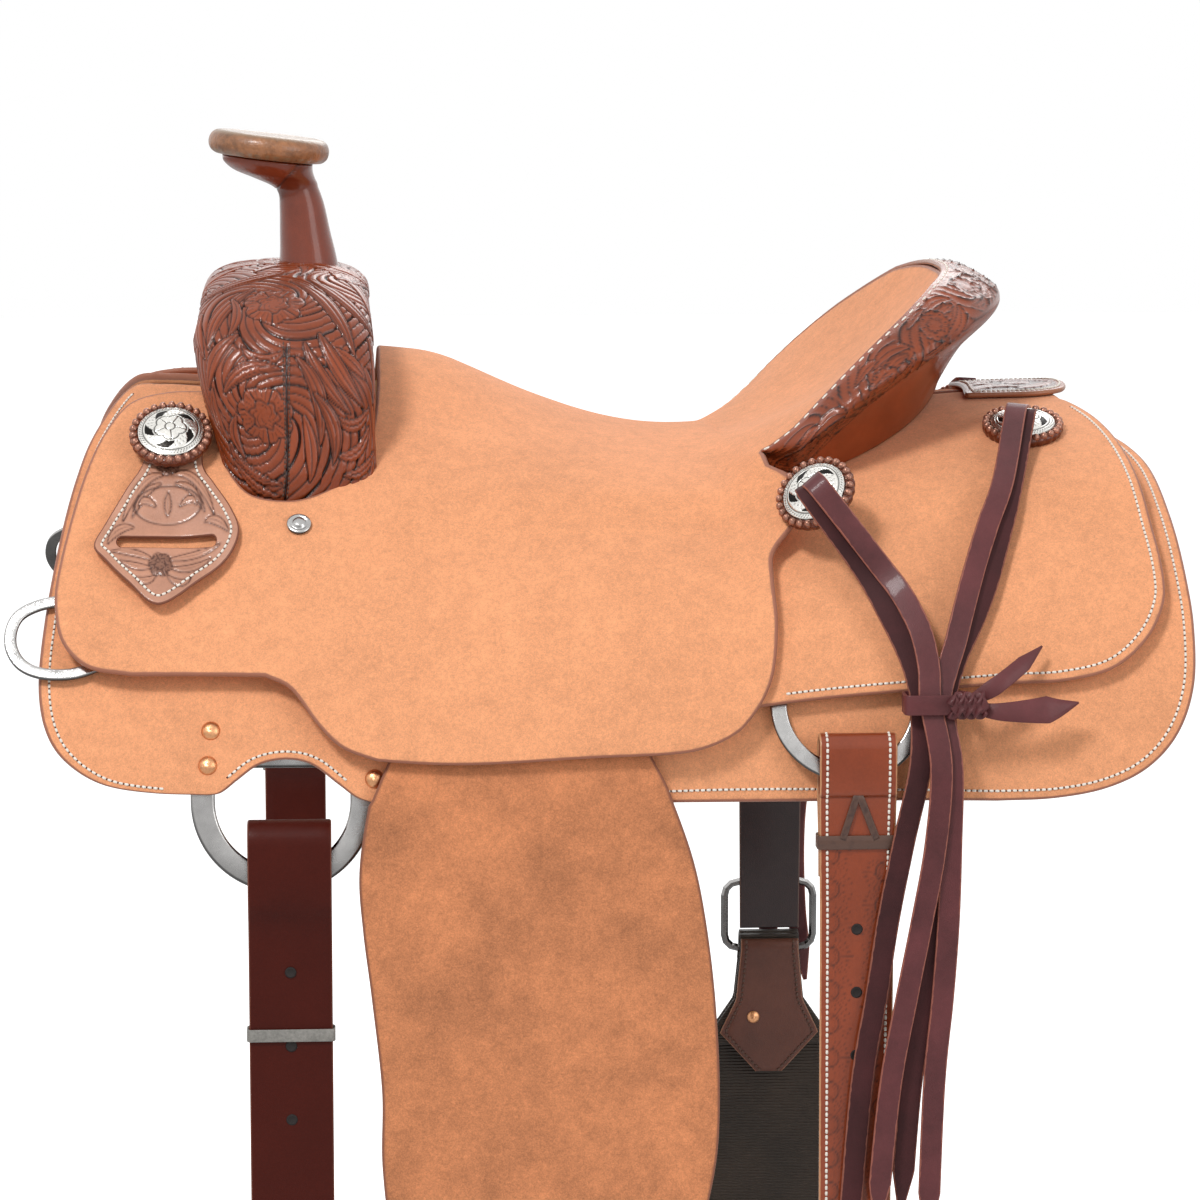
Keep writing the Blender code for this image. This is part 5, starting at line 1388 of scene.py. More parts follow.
def fork_sheet(angle, rows, grow):
    """Half the fork: round its section by an angle, and from its top down to the bars. Each
    section lies between an outer and an inner arch, its corners set by powers of the cosine
    and sine that grow square to round down from the crown."""
    outer = arch(SWELL_HALF_WIDTH, SWELL_TOP_Z, 0.060, 0.77,
                 [(SWELL_HALF_WIDTH + 0.003, 0.030), (SWELL_HALF_WIDTH + 0.001, 0.010),
                  (SWELL_HALF_WIDTH - 0.005, -0.030)])
    inner = arch(GULLET_HALF_WIDTH, GULLET_TOP_Z, 0.045, 0.83,
                 [(GULLET_HALF_WIDTH + 0.006, 0.020), (GULLET_HALF_WIDTH + 0.014, -0.030)])
    crown = 1 - ease(outer[:, 1] / 0.085)
    cosine, sine = np.cos(angle)[:, None], np.sin(angle)[:, None]
    power = 0.75 + np.where(cosine > 0, 0.60, 0.25) * crown[None]
    along = np.sign(cosine) * np.abs(cosine) ** power
    across = np.sign(sine) * np.abs(sine) ** power
    middle, reach = (outer + inner) / 2, (outer - inner) / 2
    depth = np.linalg.norm(reach, axis=1, keepdims=True)
    reach = reach / depth * (depth + grow)
    place = middle[None] + reach[None] * across[..., None]
    half = np.interp(outer[:, 1], SWELL_LENGTHS, SWELL_HALVES) + grow
    x = np.interp(outer[:, 1], SWELL_LENGTHS, SWELL_LEAN)[None] + half[None] * along
    lines = np.concatenate([x[..., None], place], 2)
    below = level_of(lines) < BAR_TOP + 0.0016
    return spaced(lines, rows, np.where(below.any(1), below.argmax(1), -1))[0]


SWELL_ROWS = 250
turn = np.linspace(-1, 1, 290, endpoint=False)
swell_angle = np.concatenate([math.pi / 2 * (1 + np.sign(turn) * np.abs(turn) ** 1.25),
                              np.linspace(math.pi, 2 * math.pi, 46, endpoint=False)])
OUTER_LINE = np.abs(swell_angle - math.pi / 2).argmin()
swell_face = fork_sheet(swell_angle, SWELL_ROWS, 0.0)
swell_back = fork_sheet(swell_angle, 9, -COVER_THICK)
round_run = lengths(swell_face.transpose(1, 0, 2)).T
swell_u = (round_run - round_run[OUTER_LINE]) / MM
down_run = lengths(swell_face)
swell_v = np.broadcast_to(down_run[OUTER_LINE], down_run.shape) / MM
facing = unit(np.cross(np.gradient(swell_face, axis=1), round_steps(swell_face)))
facing *= np.sign(np.sum(facing[OUTER_LINE] * (swell_face[OUTER_LINE]
                                               - swell_face.mean(0)), 1))[None, :, None]
SEAM_TOP = 156.0
SEAM_U = -0.7 + (swell_v - 159) * 0.115
SWELL_LEAVES = leaves_of(
    (58, 122, 63, 144, 60, 168, 9, 2), (70, 70, 86, 100, 80, 130, 11, 2),
    (75, 136, 84, 168, 76, 198, 10, 2), (56, 190, 58, 212, 49, 228, 9, 2),
    (80, 206, 74, 232, 60, 252, 11, 2), (30, 36, 55, 52, 78, 60, 12, 2),
    (0, 8, 26, 22, 50, 28, 11, 2), (0, 22, -14, 42, -10, 74, 9, 2),
    (-18, 18, -40, 36, -62, 44, 11, 2), (-58, 48, -50, 72, -62, 96, 9, 2),
    (-60, 96, -70, 122, -74, 150, 8, 2), (-60, 150, -68, 176, -62, 202, 9, 2),
    (88, 60, 98, 90, 92, 120, 10, 2), (96, 126, 100, 156, 94, 184, 9, 2),
    (-3, 63, 29, 84, 66, 102, 12, 3), (20, 100, 42, 129, 55, 160, 11, 3),
    (34, 112, 30, 132, 38, 152, 7, 1), (31, 150, 50, 167, 60, 191, 10, 2),
    (28, 160, 16, 169, 1, 163, 9, 2), (45, 191, 26, 175, 4, 176, 11, 3),
    (40, 208, 44, 222, 38, 236, 8, 2), (49, 228, 39, 244, 13, 250, 10, 3),
    (49, 240, 33, 254, 14, 258, 7, 2), (20, 60, -1, 34, -25, 49, 10, 3),
    (-29, 56, -52, 86, -70, 130, 9, 2), (-16, 82, -44, 118, -70, 146, 10, 3),
    (-5, 86, -32, 126, -46, 169, 10, 3), (-31, 161, -44, 172, -54, 184, 9, 2),
    (-22, 150, -34, 178, -50, 203, 11, 3), (-12, 158, -22, 184, -38, 206, 10, 3),
    (-28, 207, -41, 214, -56, 203, 9, 2), (-26, 232, -42, 232, -54, 216, 9, 2),
    (-6, 168, -17, 192, -14, 224, 10, 3), (-15, 192, -25, 214, -22, 238, 10, 3),
    (-6, 206, -8, 228, -5, 248, 8, 2), (-30, 246, -46, 246, -60, 236, 8, 2))
SWELL_FLOWERS = [((6, 122), 20, 7, 0.3), ((19, 205), 19, 7, 1.1), ((-42, 64), 12, 6, 0.2),
                 ((62, 76), 9, 6, 0.5), ((8, 18), 11, 6, 0.4), ((-60, 20), 11, 6, 0.1),
                 ((72, 22), 11, 6, 0.7)]
swell_height, swell_dark = tooled_face(swell_u.reshape(-1), swell_v.reshape(-1), SWELL_LEAVES,
                                       SWELL_FLOWERS, swirl=True)
swell_height = swell_height.reshape(swell_u.shape) * 1.6
swell_dark = swell_dark.reshape(swell_u.shape)
seam_share = ease((swell_v - SEAM_TOP) / 6)
seam_cut = seam_share * grooves(swell_u - SEAM_U, 0.8)
swell_height *= 1 - 0.7 * seam_share * grooves(swell_u - SEAM_U, 3.0)
swell_height -= seam_cut * MM
swell_dark = np.clip(swell_dark + seam_cut, 0, 1)
outside = ease((np.sin(swell_angle)[:, None] + 0.35) / 0.2)
carved = swell_face + facing * (swell_height * outside + 0.0003)[..., None]
carved[:, 0, 1] = 0.0
foot = (down_run[:, -1:] - down_run).T
below = swell_v[OUTER_LINE] > SEAM_TOP
seam_at = np.abs(swell_u - SEAM_U).argmin(0)[below]
seam_rows = np.flatnonzero(below)
for side, word in SIDES:
    rows = np.concatenate([carved.transpose(1, 0, 2), swell_back.transpose(1, 0, 2)[::-1]])
    rows = rows * [1, -side, 1]
    dark = np.concatenate([(swell_dark * outside).T, np.zeros((9, len(swell_angle)))])
    edge = np.concatenate([foot, np.zeros((9, len(swell_angle)))]) + 0.0004
    faces = [face[::side] for face in tube_faces(len(rows), len(swell_angle))[:-2]]
    swell = mesh_of("swell_cover_" + word, rows, faces, tooled_hide,
                    values={"edge": edge, "dark": dark})
    dressed(swell, "swell_cover")
    for number, offset in enumerate((-3, 3), 1):
        line = smooth_line(on_side(carved[seam_at + offset, seam_rows][::12], -side))
        out = np.broadcast_to(on_side(facing[OUTER_LINE, 200], -side), line.shape)
        joined(stitched("swell_seam_%d_%s" % (number, word), line, out, dark_thread,
                        pitch=0.0030, length=0.0023, thick=0.0011), swell)


# Horn
# A steel horn whose neck is wrapped in plain glossy leather with a slanting seam, flaring
# under a flat cap that is bound in varnished rawhide.

HORN_CAP_RADIUS, HORN_CAP_THICK = 0.0400, 0.0160
HORN_CAP = np.array([-0.2195, 0.0, 0.2300])
HORN_CAP_TILT = math.radians(6.7)
horn_hide = oiled("horn_leather", (0.232, 0.040, 0.013), (0.05, 0.012, 0.008),
                  (0.25, 0.09, 0.05), 0.24, coat=0.5, pore=1300.0, patch=0.25)
NECK = np.array([(-0.1935, 0.136, 0.0220, 0.0250, 0), (-0.1943, 0.158, 0.0187, 0.0210, 0),
                 (-0.1960, 0.173, 0.0168, 0.0185, 0), (-0.1978, 0.190, 0.0150, 0.0165, 0),
                 (-0.1995, 0.1990, 0.0140, 0.0153, 0.1), (-0.2025, 0.2035, 0.0155, 0.0160, 0.4),
                 (-0.2090, 0.2079, 0.0212, 0.0195, 0.7), (-0.2160, 0.2121, 0.0268, 0.0250, 0.9),
                 (-0.2200, 0.2172, 0.0296, 0.0288, 1.0), (-0.2205, 0.2215, 0.0300, 0.0300, 1.0)])
cap_axis = np.array([math.sin(HORN_CAP_TILT), 0, math.cos(HORN_CAP_TILT)])
stations = smooth_line(NECK, 0.0040)
round_angle = np.linspace(0, 2 * math.pi, 96, endpoint=False)
tilt = HORN_CAP_TILT * stations[:, 4]
u = stations[:, 2:3] * np.cos(round_angle)
neck = np.stack([stations[:, :1] + u * np.cos(tilt)[:, None],
                 stations[:, 3:4] * np.sin(round_angle),
                 stations[:, 1:2] - u * np.sin(tilt)[:, None]], 2)
seam_z = 0.2046 + (neck[..., 0] + 0.2128) * 1.10
seam_cut = grooves((neck[..., 2] - seam_z) / MM, 0.7) * (neck[..., 2] > 0.1995)
crease = 0.0006 * seam_cut
neck[..., :2] -= crease[..., None] * np.stack([np.cos(round_angle), np.sin(round_angle)], 1)
# The wrap below the seam, under the cap's flare, is painted darker: painted shade.
shade_under_seam = neck[..., 2] < seam_z
horn = mesh_of("horn_neck_wrap", neck, tube_faces(len(neck), len(round_angle)),
               horn_hide, values={"edge": np.full(neck.shape[:2], NO_EDGE),
                                  "dark": 0.8 * seam_cut + 0.30 * shade_under_seam})
dressed(horn, "horn_neck")

cap_hide = mottled_finish("golden_rawhide", 0.36, (0.27, 0.110, 0.042), (55.0, 0.55, 380.0, 0.22),
                          0.0006, (0.25, 0.150, 0.080), Coat_Weight=0.35, Coat_Roughness=0.18)[0]
h, r = HORN_CAP_THICK / 2, HORN_CAP_RADIUS
a = np.radians(np.linspace(-90, 90, 26))
profile = np.vstack([np.stack([np.linspace(0.006, r - 0.0088, 12), np.full(12, -h + 0.0004)], 1),
                     np.stack([r - 0.0085 + 0.0085 * np.cos(a) ** 0.8, h * np.sin(a)], 1),
                     np.stack([np.linspace(r - 0.0092, 0.0015, 14),
                               h - 0.0002 - 0.0006 * np.sin(np.linspace(0, math.pi, 14))], 1)])
angle = turns(128)
ring = circle(angle, np.array([math.cos(HORN_CAP_TILT), 0, -math.sin(HORN_CAP_TILT)]),
              np.array([0, 1.0, 0]))
lumps = 1 + 0.010 * np.sin(angle * 23 + 2 * np.sin(angle * 7)) * np.exp(
    -(((profile[:, 1:] + h * 0.75) / (h * 0.4)) ** 2)) * (profile[:, :1] > r - 0.02)
verts = (HORN_CAP + ring[None] * (profile[:, :1] * lumps)[..., None]
         + cap_axis * profile[:, 1][:, None, None])
# The cap's top is painted paler, a painted highlight where it catches the light from above; the
# crimp at its lower rim is the rawhide's own pale colour.
top_highlight_and_crimp = ease((profile[:, 1] - h * 0.55) / (h * 0.4))[:, None] * np.ones(len(angle))
crimp = (profile[:, :1] > r - 0.014) * (profile[:, 1:] < -h * 0.62)
top_highlight_and_crimp = np.maximum(top_highlight_and_crimp, crimp * (0.5 + 0.5 * np.sin(angle * 61 + 3 * np.sin(angle * 13))))
cap = mesh_of("horn_cap_binding", verts, tube_faces(len(profile), len(angle)),
              cap_hide, values={"dark": top_highlight_and_crimp, "edge": np.full(top_highlight_and_crimp.size, NO_EDGE)})
dressed(cap, "horn_cap")


# Conchos
# Engraved silver domes, each on a leather rosette with a rim of copper-brown beads. A screw
# holds the front one through the keeper; the others are tied down by their strings.

CONCHO_RADIUS, CONCHO_HEIGHT = 0.0268, 0.0095
KEEPER_THICK, KEEPER_GAP = 0.0034, 0.0026
engraved = mottled_finish("engraved_silver", 0.26, (0.86, 0.84, 0.79), (160.0, 0.10, 900.0, 0.08),
                          0.0001, (0.022, 0.020, 0.018), Metallic=1.0)[0]
bead_metal = mottled_finish("copper_brown_beads", 0.30, (0.38, 0.180, 0.125),
                            (300.0, 0.35, 900.0, 0.10), Metallic=0.6)[0]


def engraving_and_shade(r, a, hole):
    """Cut lines of a concho, in shares of its radius: a flower of five petals in a ring of
    leaf scrolls, inside a roped border. Its outer edge, and its middle where it has a hole, are
    painted dark as painted shade."""
    border = 0.40 + 0.10 * np.abs(np.cos(2.5 * a)) ** 0.8
    cut = grooves(r - border, 0.022) + grooves(r - 0.15, 0.02)
    cut = cut + grooves(np.sin(2.5 * a) * r, 0.035) * (r < border) * (r > 0.16)
    scroll = (np.sin(5 * a + 9 * r) < -0.30) * (r > border + 0.05) * (r < 0.78)
    vein = grooves(np.sin(15 * a - 7 * r), 0.25) * (r > border + 0.08) * (r < 0.74) * 0.6
    rope = grooves(np.sin(30 * a + 26 * r), 0.45) * (r > 0.87) * (r < 0.97)
    cut = cut + scroll + vein + rope + grooves(r - 0.835, 0.018) + 1.5 * (r > 0.985)
    # Painted shade: the middle hole is painted near black.
    if hole:
        cut = np.where(r < 0.20, 1.5, cut)
    return np.clip(cut, 0, 1)


DOME_RADIUS, BEAD_RADIUS, BEAD_RING, BEAD_COUNT = 0.0212, 0.0027, 0.0239, 26
DOME_SIDES, ROSETTE_SIDES, BEAD_SIDES = 128, 176, 7
ROSETTE = [(0.0200, 0.0036), (0.0248, 0.0034), (0.0262, 0.0020), (0.0264, 0.0002),
           (0.0256, -0.0020), (0.0235, -0.0046), (0.0120, -0.0046)]


def concho(name, place, normal, side, hole):
    """A dome whose height falls as a power of its radius, cut by its engraving, its rim and any
    middle hole painted dark as painted shade, on a scalloped rosette, with a ring of beads."""
    across = unit(np.array([1.0, 0, 0]) - normal * normal[0])
    along = np.cross(normal, across)
    share = np.linspace(0.02, 0.97, 52)
    a = turns(DOME_SIDES)
    r = np.concatenate([share, [1.0, 1.01, 0.99, 0.90]])
    level = np.concatenate([0.0046 + 0.0049 * (1 - share**2.2), [0.0044, 0.0032, 0.0022, 0.0020]])
    cut = engraving_and_shade(r[:, None], a[None] + 0.2, hole)
    # The rim rows that turn under to the rosette are painted dark: painted shade.
    cut[-4:] = 1.0
    rise = level[:, None] - 0.0005 * cut
    if hole:
        rise = rise - 0.0026 * ease((0.17 - r) / 0.05)[:, None]
    verts = (place + circle(a, across, along)[None] * (r[:, None] * DOME_RADIUS)[..., None]
             + normal * rise[..., None])
    dome = mesh_of(name, verts, [f[::-side] for f in tube_faces(len(r), len(a))],
                   engraved, values={"dark": cut})
    a = turns(ROSETTE_SIDES)
    wave = 1 - 0.030 + 0.030 * np.abs(np.cos(a * BEAD_COUNT / 2))
    rows = [place + circle(a, across, along) * (radius * wave)[:, None] + normal * height
            for radius, height in ROSETTE]
    joined(mesh_of(name + "_rosette", np.array(rows),
                   [f[::side] for f in tube_faces(len(rows), len(a))], tooled_hide,
                   values={"edge": np.full(len(a) * len(rows), NO_EDGE),
                           "dark": np.full(len(a) * len(rows), 0.55)}), dome)
    ball = [(math.sin(t), math.cos(t)) for t in np.radians((8, 48, 90, 132, 172))]
    offset = np.array([circle(turns(BEAD_SIDES), across, along) * w + normal * z
                       for w, z in ball]) * BEAD_RADIUS
    centres = (place + normal * 0.0034
               + circle(turns(BEAD_COUNT) + 0.1, across, along) * BEAD_RING)
    faces = repeated(tube_faces(len(ball), BEAD_SIDES), BEAD_COUNT, len(ball) * BEAD_SIDES)
    joined(mesh_of(name + "_beads", centres[:, None, None] + offset[None],
                   [f[::side] for f in faces], bead_metal), dome)
    return dome


CONCHOS = (("front_concho", seat_surface, -0.2815, 0.1200, KEEPER_GAP + KEEPER_THICK + 0.0050),
           ("mid_concho", seat_top, 0.1250, 0.1965, 0.0034),
           ("rear_concho", jockey_top, 0.2685, 0.0915, 0.0022))
concho_frames = {}
for stem, surface, x, s, lift in CONCHOS:
    place, normal = seat_on(surface, x, s, lift, CONCHO_RADIUS * 0.8)
    concho_frames[stem] = place, normal
    for side, word in SIDES:
        dome = concho("%s_dome_%s" % (stem, word), on_side(place, side), on_side(normal, side),
                      side, stem != "front_concho")
        dressed(dome, "%s_%s" % (stem, word))
SCREW = [(0.0074, -0.0004), (0.0078, 0.0008), (0.0074, 0.0015), (0.0058, 0.0020), (0.0052, 0.0014),
         (0.0042, 0.0015), (0.0036, 0.0030), (0.0020, 0.0034), (0.0002, 0.0035)]
for side, word in SIDES:
    place, normal = seat_on(seat_surface, -0.2007, 0.1656, 0.0009)
    screw = turned("jockey_screw_head_" + word, SCREW, on_side(place, side), on_side(normal, side),
                   steel, sides=32)
    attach(screw, "saddle")
    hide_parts("jockey_screw_" + word)


# Keepers
# The latigo keeper on each side of the pommel: chestnut leather cut in a waisted shape, sewn
# round in white, carved with leaves and two small flowers, with a slot for the latigo's end.

def keeper_under(x, s):
    """A keeper's inner face, which stands off the seat leather towards its foot."""
    foot_gap = 0.0060 * ease((np.abs(s) - 0.160) / 0.060)
    return on_form(x, s, seat_level(x, s) + KEEPER_GAP + foot_gap)


def keeper_top(x, s):
    """A keeper's outer face, its thickness along the form's own rise between two levels."""
    return keeper_under(x, s) + (on_form(x, s, 0.1) - on_form(x, s, 0.0)) * KEEPER_THICK * 10


KEEPER_LINE = [(-279, 98), (-266, 101), (-261, 112), (-261, 134), (-254, 145), (-243, 160),
               (-238, 174), (-245, 189), (-262, 202), (-288, 217), (-308, 203), (-322, 190),
               (-329, 181), (-322, 167), (-310, 149), (-299, 133), (-297, 112), (-292, 101),
               (-279, 98)]
KEEPER_LEAVES = leaves_of(
    (-287, 141, -300, 147, -311, 166, 5, 1), (-280, 141, -266, 144, -254, 164, 5, 1),
    (-288, 146, -298, 152, -305, 164, 4, 1), (-278, 146, -268, 150, -260, 162, 4, 1),
    (-284, 127, -291, 118, -292, 108, 4, 1), (-282, 127, -274, 118, -271, 110, 4, 1),
    (-283, 127, -282, 117, -282, 108, 3, 1), (-305, 170, -314, 172, -320, 180, 5, 1),
    (-259, 168, -252, 168, -245, 174, 5, 1), (-292, 190, -304, 186, -318, 185, 4, 1),
    (-282, 190, -266, 187, -250, 181, 4, 1), (-293, 195, -303, 194, -312, 191, 4, 1),
    (-280, 195, -268, 195, -256, 189, 4, 1), (-290, 200, -296, 203, -302, 201, 4, 1),
    (-282, 200, -275, 204, -268, 201, 4, 1), (-291, 158, -297, 155, -301, 158, 4, 1),
    (-275, 158, -269, 155, -265, 158, 4, 1), (-283, 163, -283, 157, -283, 151, 4, 1))
KEEPER_FLOWERS = [((-283, 134), 7.2, 6, 0.3), ((-287, 193), 7.2, 6, 0.9)]
keeper_hide = oiled("keeper_chestnut", (0.520, 0.250, 0.160), (0.085, 0.028, 0.016),
                    (0.20, 0.07, 0.04), 0.40, coat=0.25, patch=0.16)


def keeper_relief(x, s):
    """A keeper's tooling: leaves, two flowers and a cut oval on a plain ground."""
    u, v = x / MM, np.abs(s) / MM
    height, dark = tooled_face(u, v, KEEPER_LEAVES, KEEPER_FLOWERS, ground=False)
    flower = np.min([np.hypot(u - p[0][0], v - p[0][1]) for p in KEEPER_FLOWERS], 0)
    oval = grooves((np.hypot((u + 283) / 21, (v - 158) / 10.5) - 1) * 12, 0.55)
    return height * 0.8 - 0.3 * MM * oval, np.clip(dark + 0.6 * (flower < 6.6) + 0.8 * oval, 0, 1)


for side, word in SIDES:
    cut_line = trace(KEEPER_LINE, side=side, gap=0.0012)
    slot = rounded(0.062, 0.0064, 0.0030, 6, across=30) + [-0.2835, 0.1790]
    keeper = cut_leather("keeper_leather_" + word, [cut_line, slot * [1, side]], keeper_top,
                         keeper_under, keeper_hide, step=0.0009, roll=0.0012, relief=keeper_relief)
    dressed(keeper, "latigo_keeper_" + word)
    stitch_on("keeper_stitches_" + word, keeper_top, run_inside(cut_line, 0.0050), keeper)


# Latigo and off billet
# Burgundy straps, each folded over the front rigging ring's bar and hanging doubled: the long
# latigo near, with holes for the cinch tongue, and the shorter off billet, tipped with bands.

def hairpin(bar, front, back, reach, front_end, back_end, narrow, spread):
    """A strap's path in (y, z): up the outside, round an arc over a bar, down the inside."""
    y, z = bar
    top, bend, middle = z + reach, (front + back) / 2, y + (back - front) / 2
    path = [(y - narrow, front_end), (y - narrow, (z - spread + front_end) / 2),
            (y - narrow, z - spread), (y - front, z - 0.010), (y - front, top - bend)]
    path += [(middle + bend * math.cos(a), top - bend + bend * math.sin(a))
             for a in np.radians((150, 120, 90, 60, 30))]
    return path + [(y + back, top - bend), (y + back, z - 0.010), (y + narrow, z - spread),
                   (y + narrow, back_end)]


def strap(name, x, path, width, thick, finish, side):
    """A flat strap along (y, z) points of one side; the width may change with height."""
    points = smooth_line([(x, y * side, z) for y, z in path], 0.0035)
    widths = width(points[:, 2]) if callable(width) else np.full(len(points), width)
    return carried(name, points, (1, 0, 0), rounded(widths.max(), thick, thick * 0.3, 4, across=8),
                   finish, widths=widths)


EYELET = [(0.0036, 0.00002), (0.0030, 0.00055), (0.0024, 0.00035), (0.00216, 0.00018),
          (0.0001, 0.00012)]


def eyelets(name, x, y, heights, side, parent):
    """Holes punched in a strap: dished discs with a pressed rim, painted near black as the painted
    shade inside each hole.
    """
    for number, z in enumerate(heights, 1):
        joined(turned("%s_%d" % (name, number), EYELET, (x, y * side, z), (0, -side, 0), hole_shade,
                      sides=20), parent)


def level_loop(middle, outline):
    """An outline laid level about a middle."""
    return np.asarray(middle) + np.column_stack([outline, np.zeros(len(outline))])


# Painted shade: a near-black colour for the inside of each punched hole.
hole_shade = finish_of("punched_hole_shade", 0.8, Base_Color=(0.010, 0.006, 0.005, 1))[0]
band_gray = mottled_finish("gray_band", 0.6, (0.23, 0.22, 0.20), (60.0, 0.2, 600.0, 0.2))[0]
bar = ring_bars["front_ring"]
LATIGO_X = -0.208
FRONT_STRAPS = (
    (1, "latigo", "latigo_strap", "near_latigo", 0.052, -0.465, (-0.226, -0.272, -0.319, -0.366),
     -0.312),
    (-1, "off_billet", "off_billet_strap", "off_girth_billet", 0.044, -0.385,
     (-0.250, -0.290, -0.330), -0.228))
for side, stem, piece, body, width, end, heights, band_z in FRONT_STRAPS:
    path = hairpin(bar, 0.0112, 0.0112, 0.036, end, end, 0.0030, 0.040)
    hung = dressed(strap(piece, LATIGO_X, path, width, 0.0048, latigo_hide, side), stem,
                   body)
    eyelets(stem + "_hole", LATIGO_X, bar[0] - 0.0030 - 0.0024, heights, side, hung)
    loop = level_loop((LATIGO_X, bar[0] * side, band_z), rounded(width + 0.0018, 0.0128, 0.0020, 6))
    joined(carried(stem + "_band", loop, (0, 0, 1), rounded(0.0080, 0.0014, 0.0006, 3), band_gray,
                   closed=True), hung)


# Flank billets and back cinch
# Straps over the rear rings: the near one of tan leather, sewn down both sides, laced, with a row
# of stamps; the off one painted near black as painted shade where it hangs on the far side, holding
# the back cinch's buckle. The cinch is dark webbing, deepened by painted shade.

billet_hide = oiled("tan_billet", (0.250, 0.044, 0.012), (0.030, 0.008, 0.005),
                    (0.52, 0.25, 0.12), 0.32, coat=0.45, patch=0.12, edge_width=0.0009)
# The off billet's near black is painted shade for its place on the far side; the near billet's lace
# and band are dark leather.
dark_lace_and_shaded_billet = oiled("dark_lace_and_shaded_billet", (0.024, 0.012, 0.012), (0.008, 0.005, 0.005),
                    (0.10, 0.05, 0.035), 0.36, coat=0.35, patch=0.2)
chape_hide = oiled("cinch_chape_leather", (0.105, 0.032, 0.018), (0.03, 0.01, 0.008),
                   (0.26, 0.11, 0.06), 0.36, coat=0.3, patch=0.2)
# The webbing's near black is partly its own dark colour and partly painted shade on the far side.
webbing, tree, shader = mottled_finish("dark_webbing_and_shade", 0.55, (0.030, 0.018, 0.011),
                                       (12.0, 0.45, 900.0, 0.25))
rib = put(tree, "ShaderNodeTexWave", {"Vector": coordinates(tree), "Scale": 130.0,
                                      "Distortion": 1.2}, bands_direction="Z")
bump(tree, shader, rib.outputs["Fac"], 0.0009)
bar = ring_bars["rear_ring"]
FLANK_X = 0.1430


def fan_stamps(u, z, half):
    """Darkness of two rows of fan stamps inside the stitches: a half circle with rays beyond."""
    dark = np.zeros(np.broadcast(u, z).shape)
    for hand, shift in ((-1, 0.0), (1, 10.7)):
        row = -197 - shift - z
        place = (row + 10.7) % 21.4 - 10.7
        reach = half - 6.0 - hand * u
        r, a = np.hypot(reach, place), np.arctan2(place, np.maximum(reach, 1e-6))
        live = (reach > 0) * (row > -8)
        dark += live * (grooves(r - 6.0, 0.55) * 0.8 + grooves(r - 4.0, 0.4) * 0.35
                        + grooves(np.sin(a * 13), 0.30) * (r > 7.0) * (r < 14.5) * 0.55)
    return np.clip(dark, 0, 1)


def billet_width(z, end):
    """A billet's width at a height, a little wider towards its ring."""
    return np.interp(z, [end, -0.24, -0.16], [0.044, 0.046, 0.048])


FLANK_STRAPS = ((1, "near", -0.660, billet_hide, (-0.244, -0.284, -0.324, -0.364, -0.404, -0.444)),
                (-1, "off", -0.361, dark_lace_and_shaded_billet, (-0.195, -0.235)))
for side, word, end, finish, heights in FLANK_STRAPS:
    path = hairpin(bar, 0.0066, 0.0094, 0.024, end, -0.212, 0.0040, 0.040)
    points = smooth_line([(FLANK_X, y * side, z) for y, z in path], 0.0014)
    widths = billet_width(points[:, 2], end)
    section = rounded(0.048, 0.0026, 0.0008, 4, across=44)
    outward = (np.arange(len(points)) <= points[:, 2].argmax()) & (side > 0)
    across = section[None, :, 0] * (widths / 0.048)[:, None]
    dark = fan_stamps(across / MM, points[:, 2:] / MM, widths[:, None] / 2 / MM) * outward[:, None]
    hung = carried("flank_strap_" + word, points, (1, 0, 0), section, finish, widths=widths,
                   values={"dark": dark})
    dressed(hung, "flank_billet_" + word, word + "_flank_billet")
    front = smooth_line([(FLANK_X, y * side, z) for y, z in path], 0.003)
    front = front[:front[:, 2].argmax() + 1]
    inset = billet_width(front[:, 2], end) / 2 - 0.0046
    out = unit(np.cross(np.gradient(front, axis=0), (1, 0, 0)))
    out *= np.sign(out[len(out) // 2, 1]) * -side
    for hand in (1, -1):
        line = front + np.outer(inset * hand, (1, 0, 0)) + out * 0.0013
        joined(stitched("flank_stitches_%s_%s" % (word, "front" if hand < 0 else "rear"), line, out,
                        thread), hung)
    face = bar[0] - 0.0040 - 0.0013
    eyelets("flank_hole_" + word, FLANK_X, face, heights, side, hung)
    if side > 0:
        lace = (((-0.0095, -0.187), (-0.001, -0.160)), ((0.0115, -0.187), (0.001, -0.160)))
        for number, ((low_x, low_z), (high_x, high_z)) in enumerate(lace, 1):
            line = evenly(np.array([(FLANK_X + low_x, face - 0.0012, low_z),
                                    (FLANK_X + high_x, face - 0.0016, high_z),
                                    (FLANK_X + high_x, face + 0.0010, high_z + 0.003)]), 0.002)
            joined(carried("flank_lace_%d" % number, line, (1, 0, 0),
                           rounded(0.0046, 0.0018, 0.0007, 3), dark_lace_and_shaded_billet), hung)
        loop = level_loop((FLANK_X, bar[0], -0.1890), rounded(0.0490, 0.0128, 0.0018, 6))
        joined(carried("flank_band", loop, (0, 0, 1), rounded(0.0088, 0.0014, 0.0006, 3),
                       dark_lace_and_shaded_billet, closed=True), hung)
face = bar[0] - 0.0040 - 0.0013 - 0.0005 - 0.0028
painted(steel, "cinch_buckle")
path = hairpin((face, -0.377), 0.0075, 0.0075, 0.012, -0.800, -0.450, 0.0040, 0.024)
girth = strap("back_cinch_band", FLANK_X, path,
              lambda z: np.interp(z, [-0.800, -0.782, -0.450, -0.415, -0.377],
                                  [0.070, 0.100, 0.100, 0.052, 0.044]), 0.0036, webbing, -1)
dressed(girth, "back_cinch", "flank_cinch")
CHAPE_TIP, CHAPE_LIFT = -0.470, 0.0024
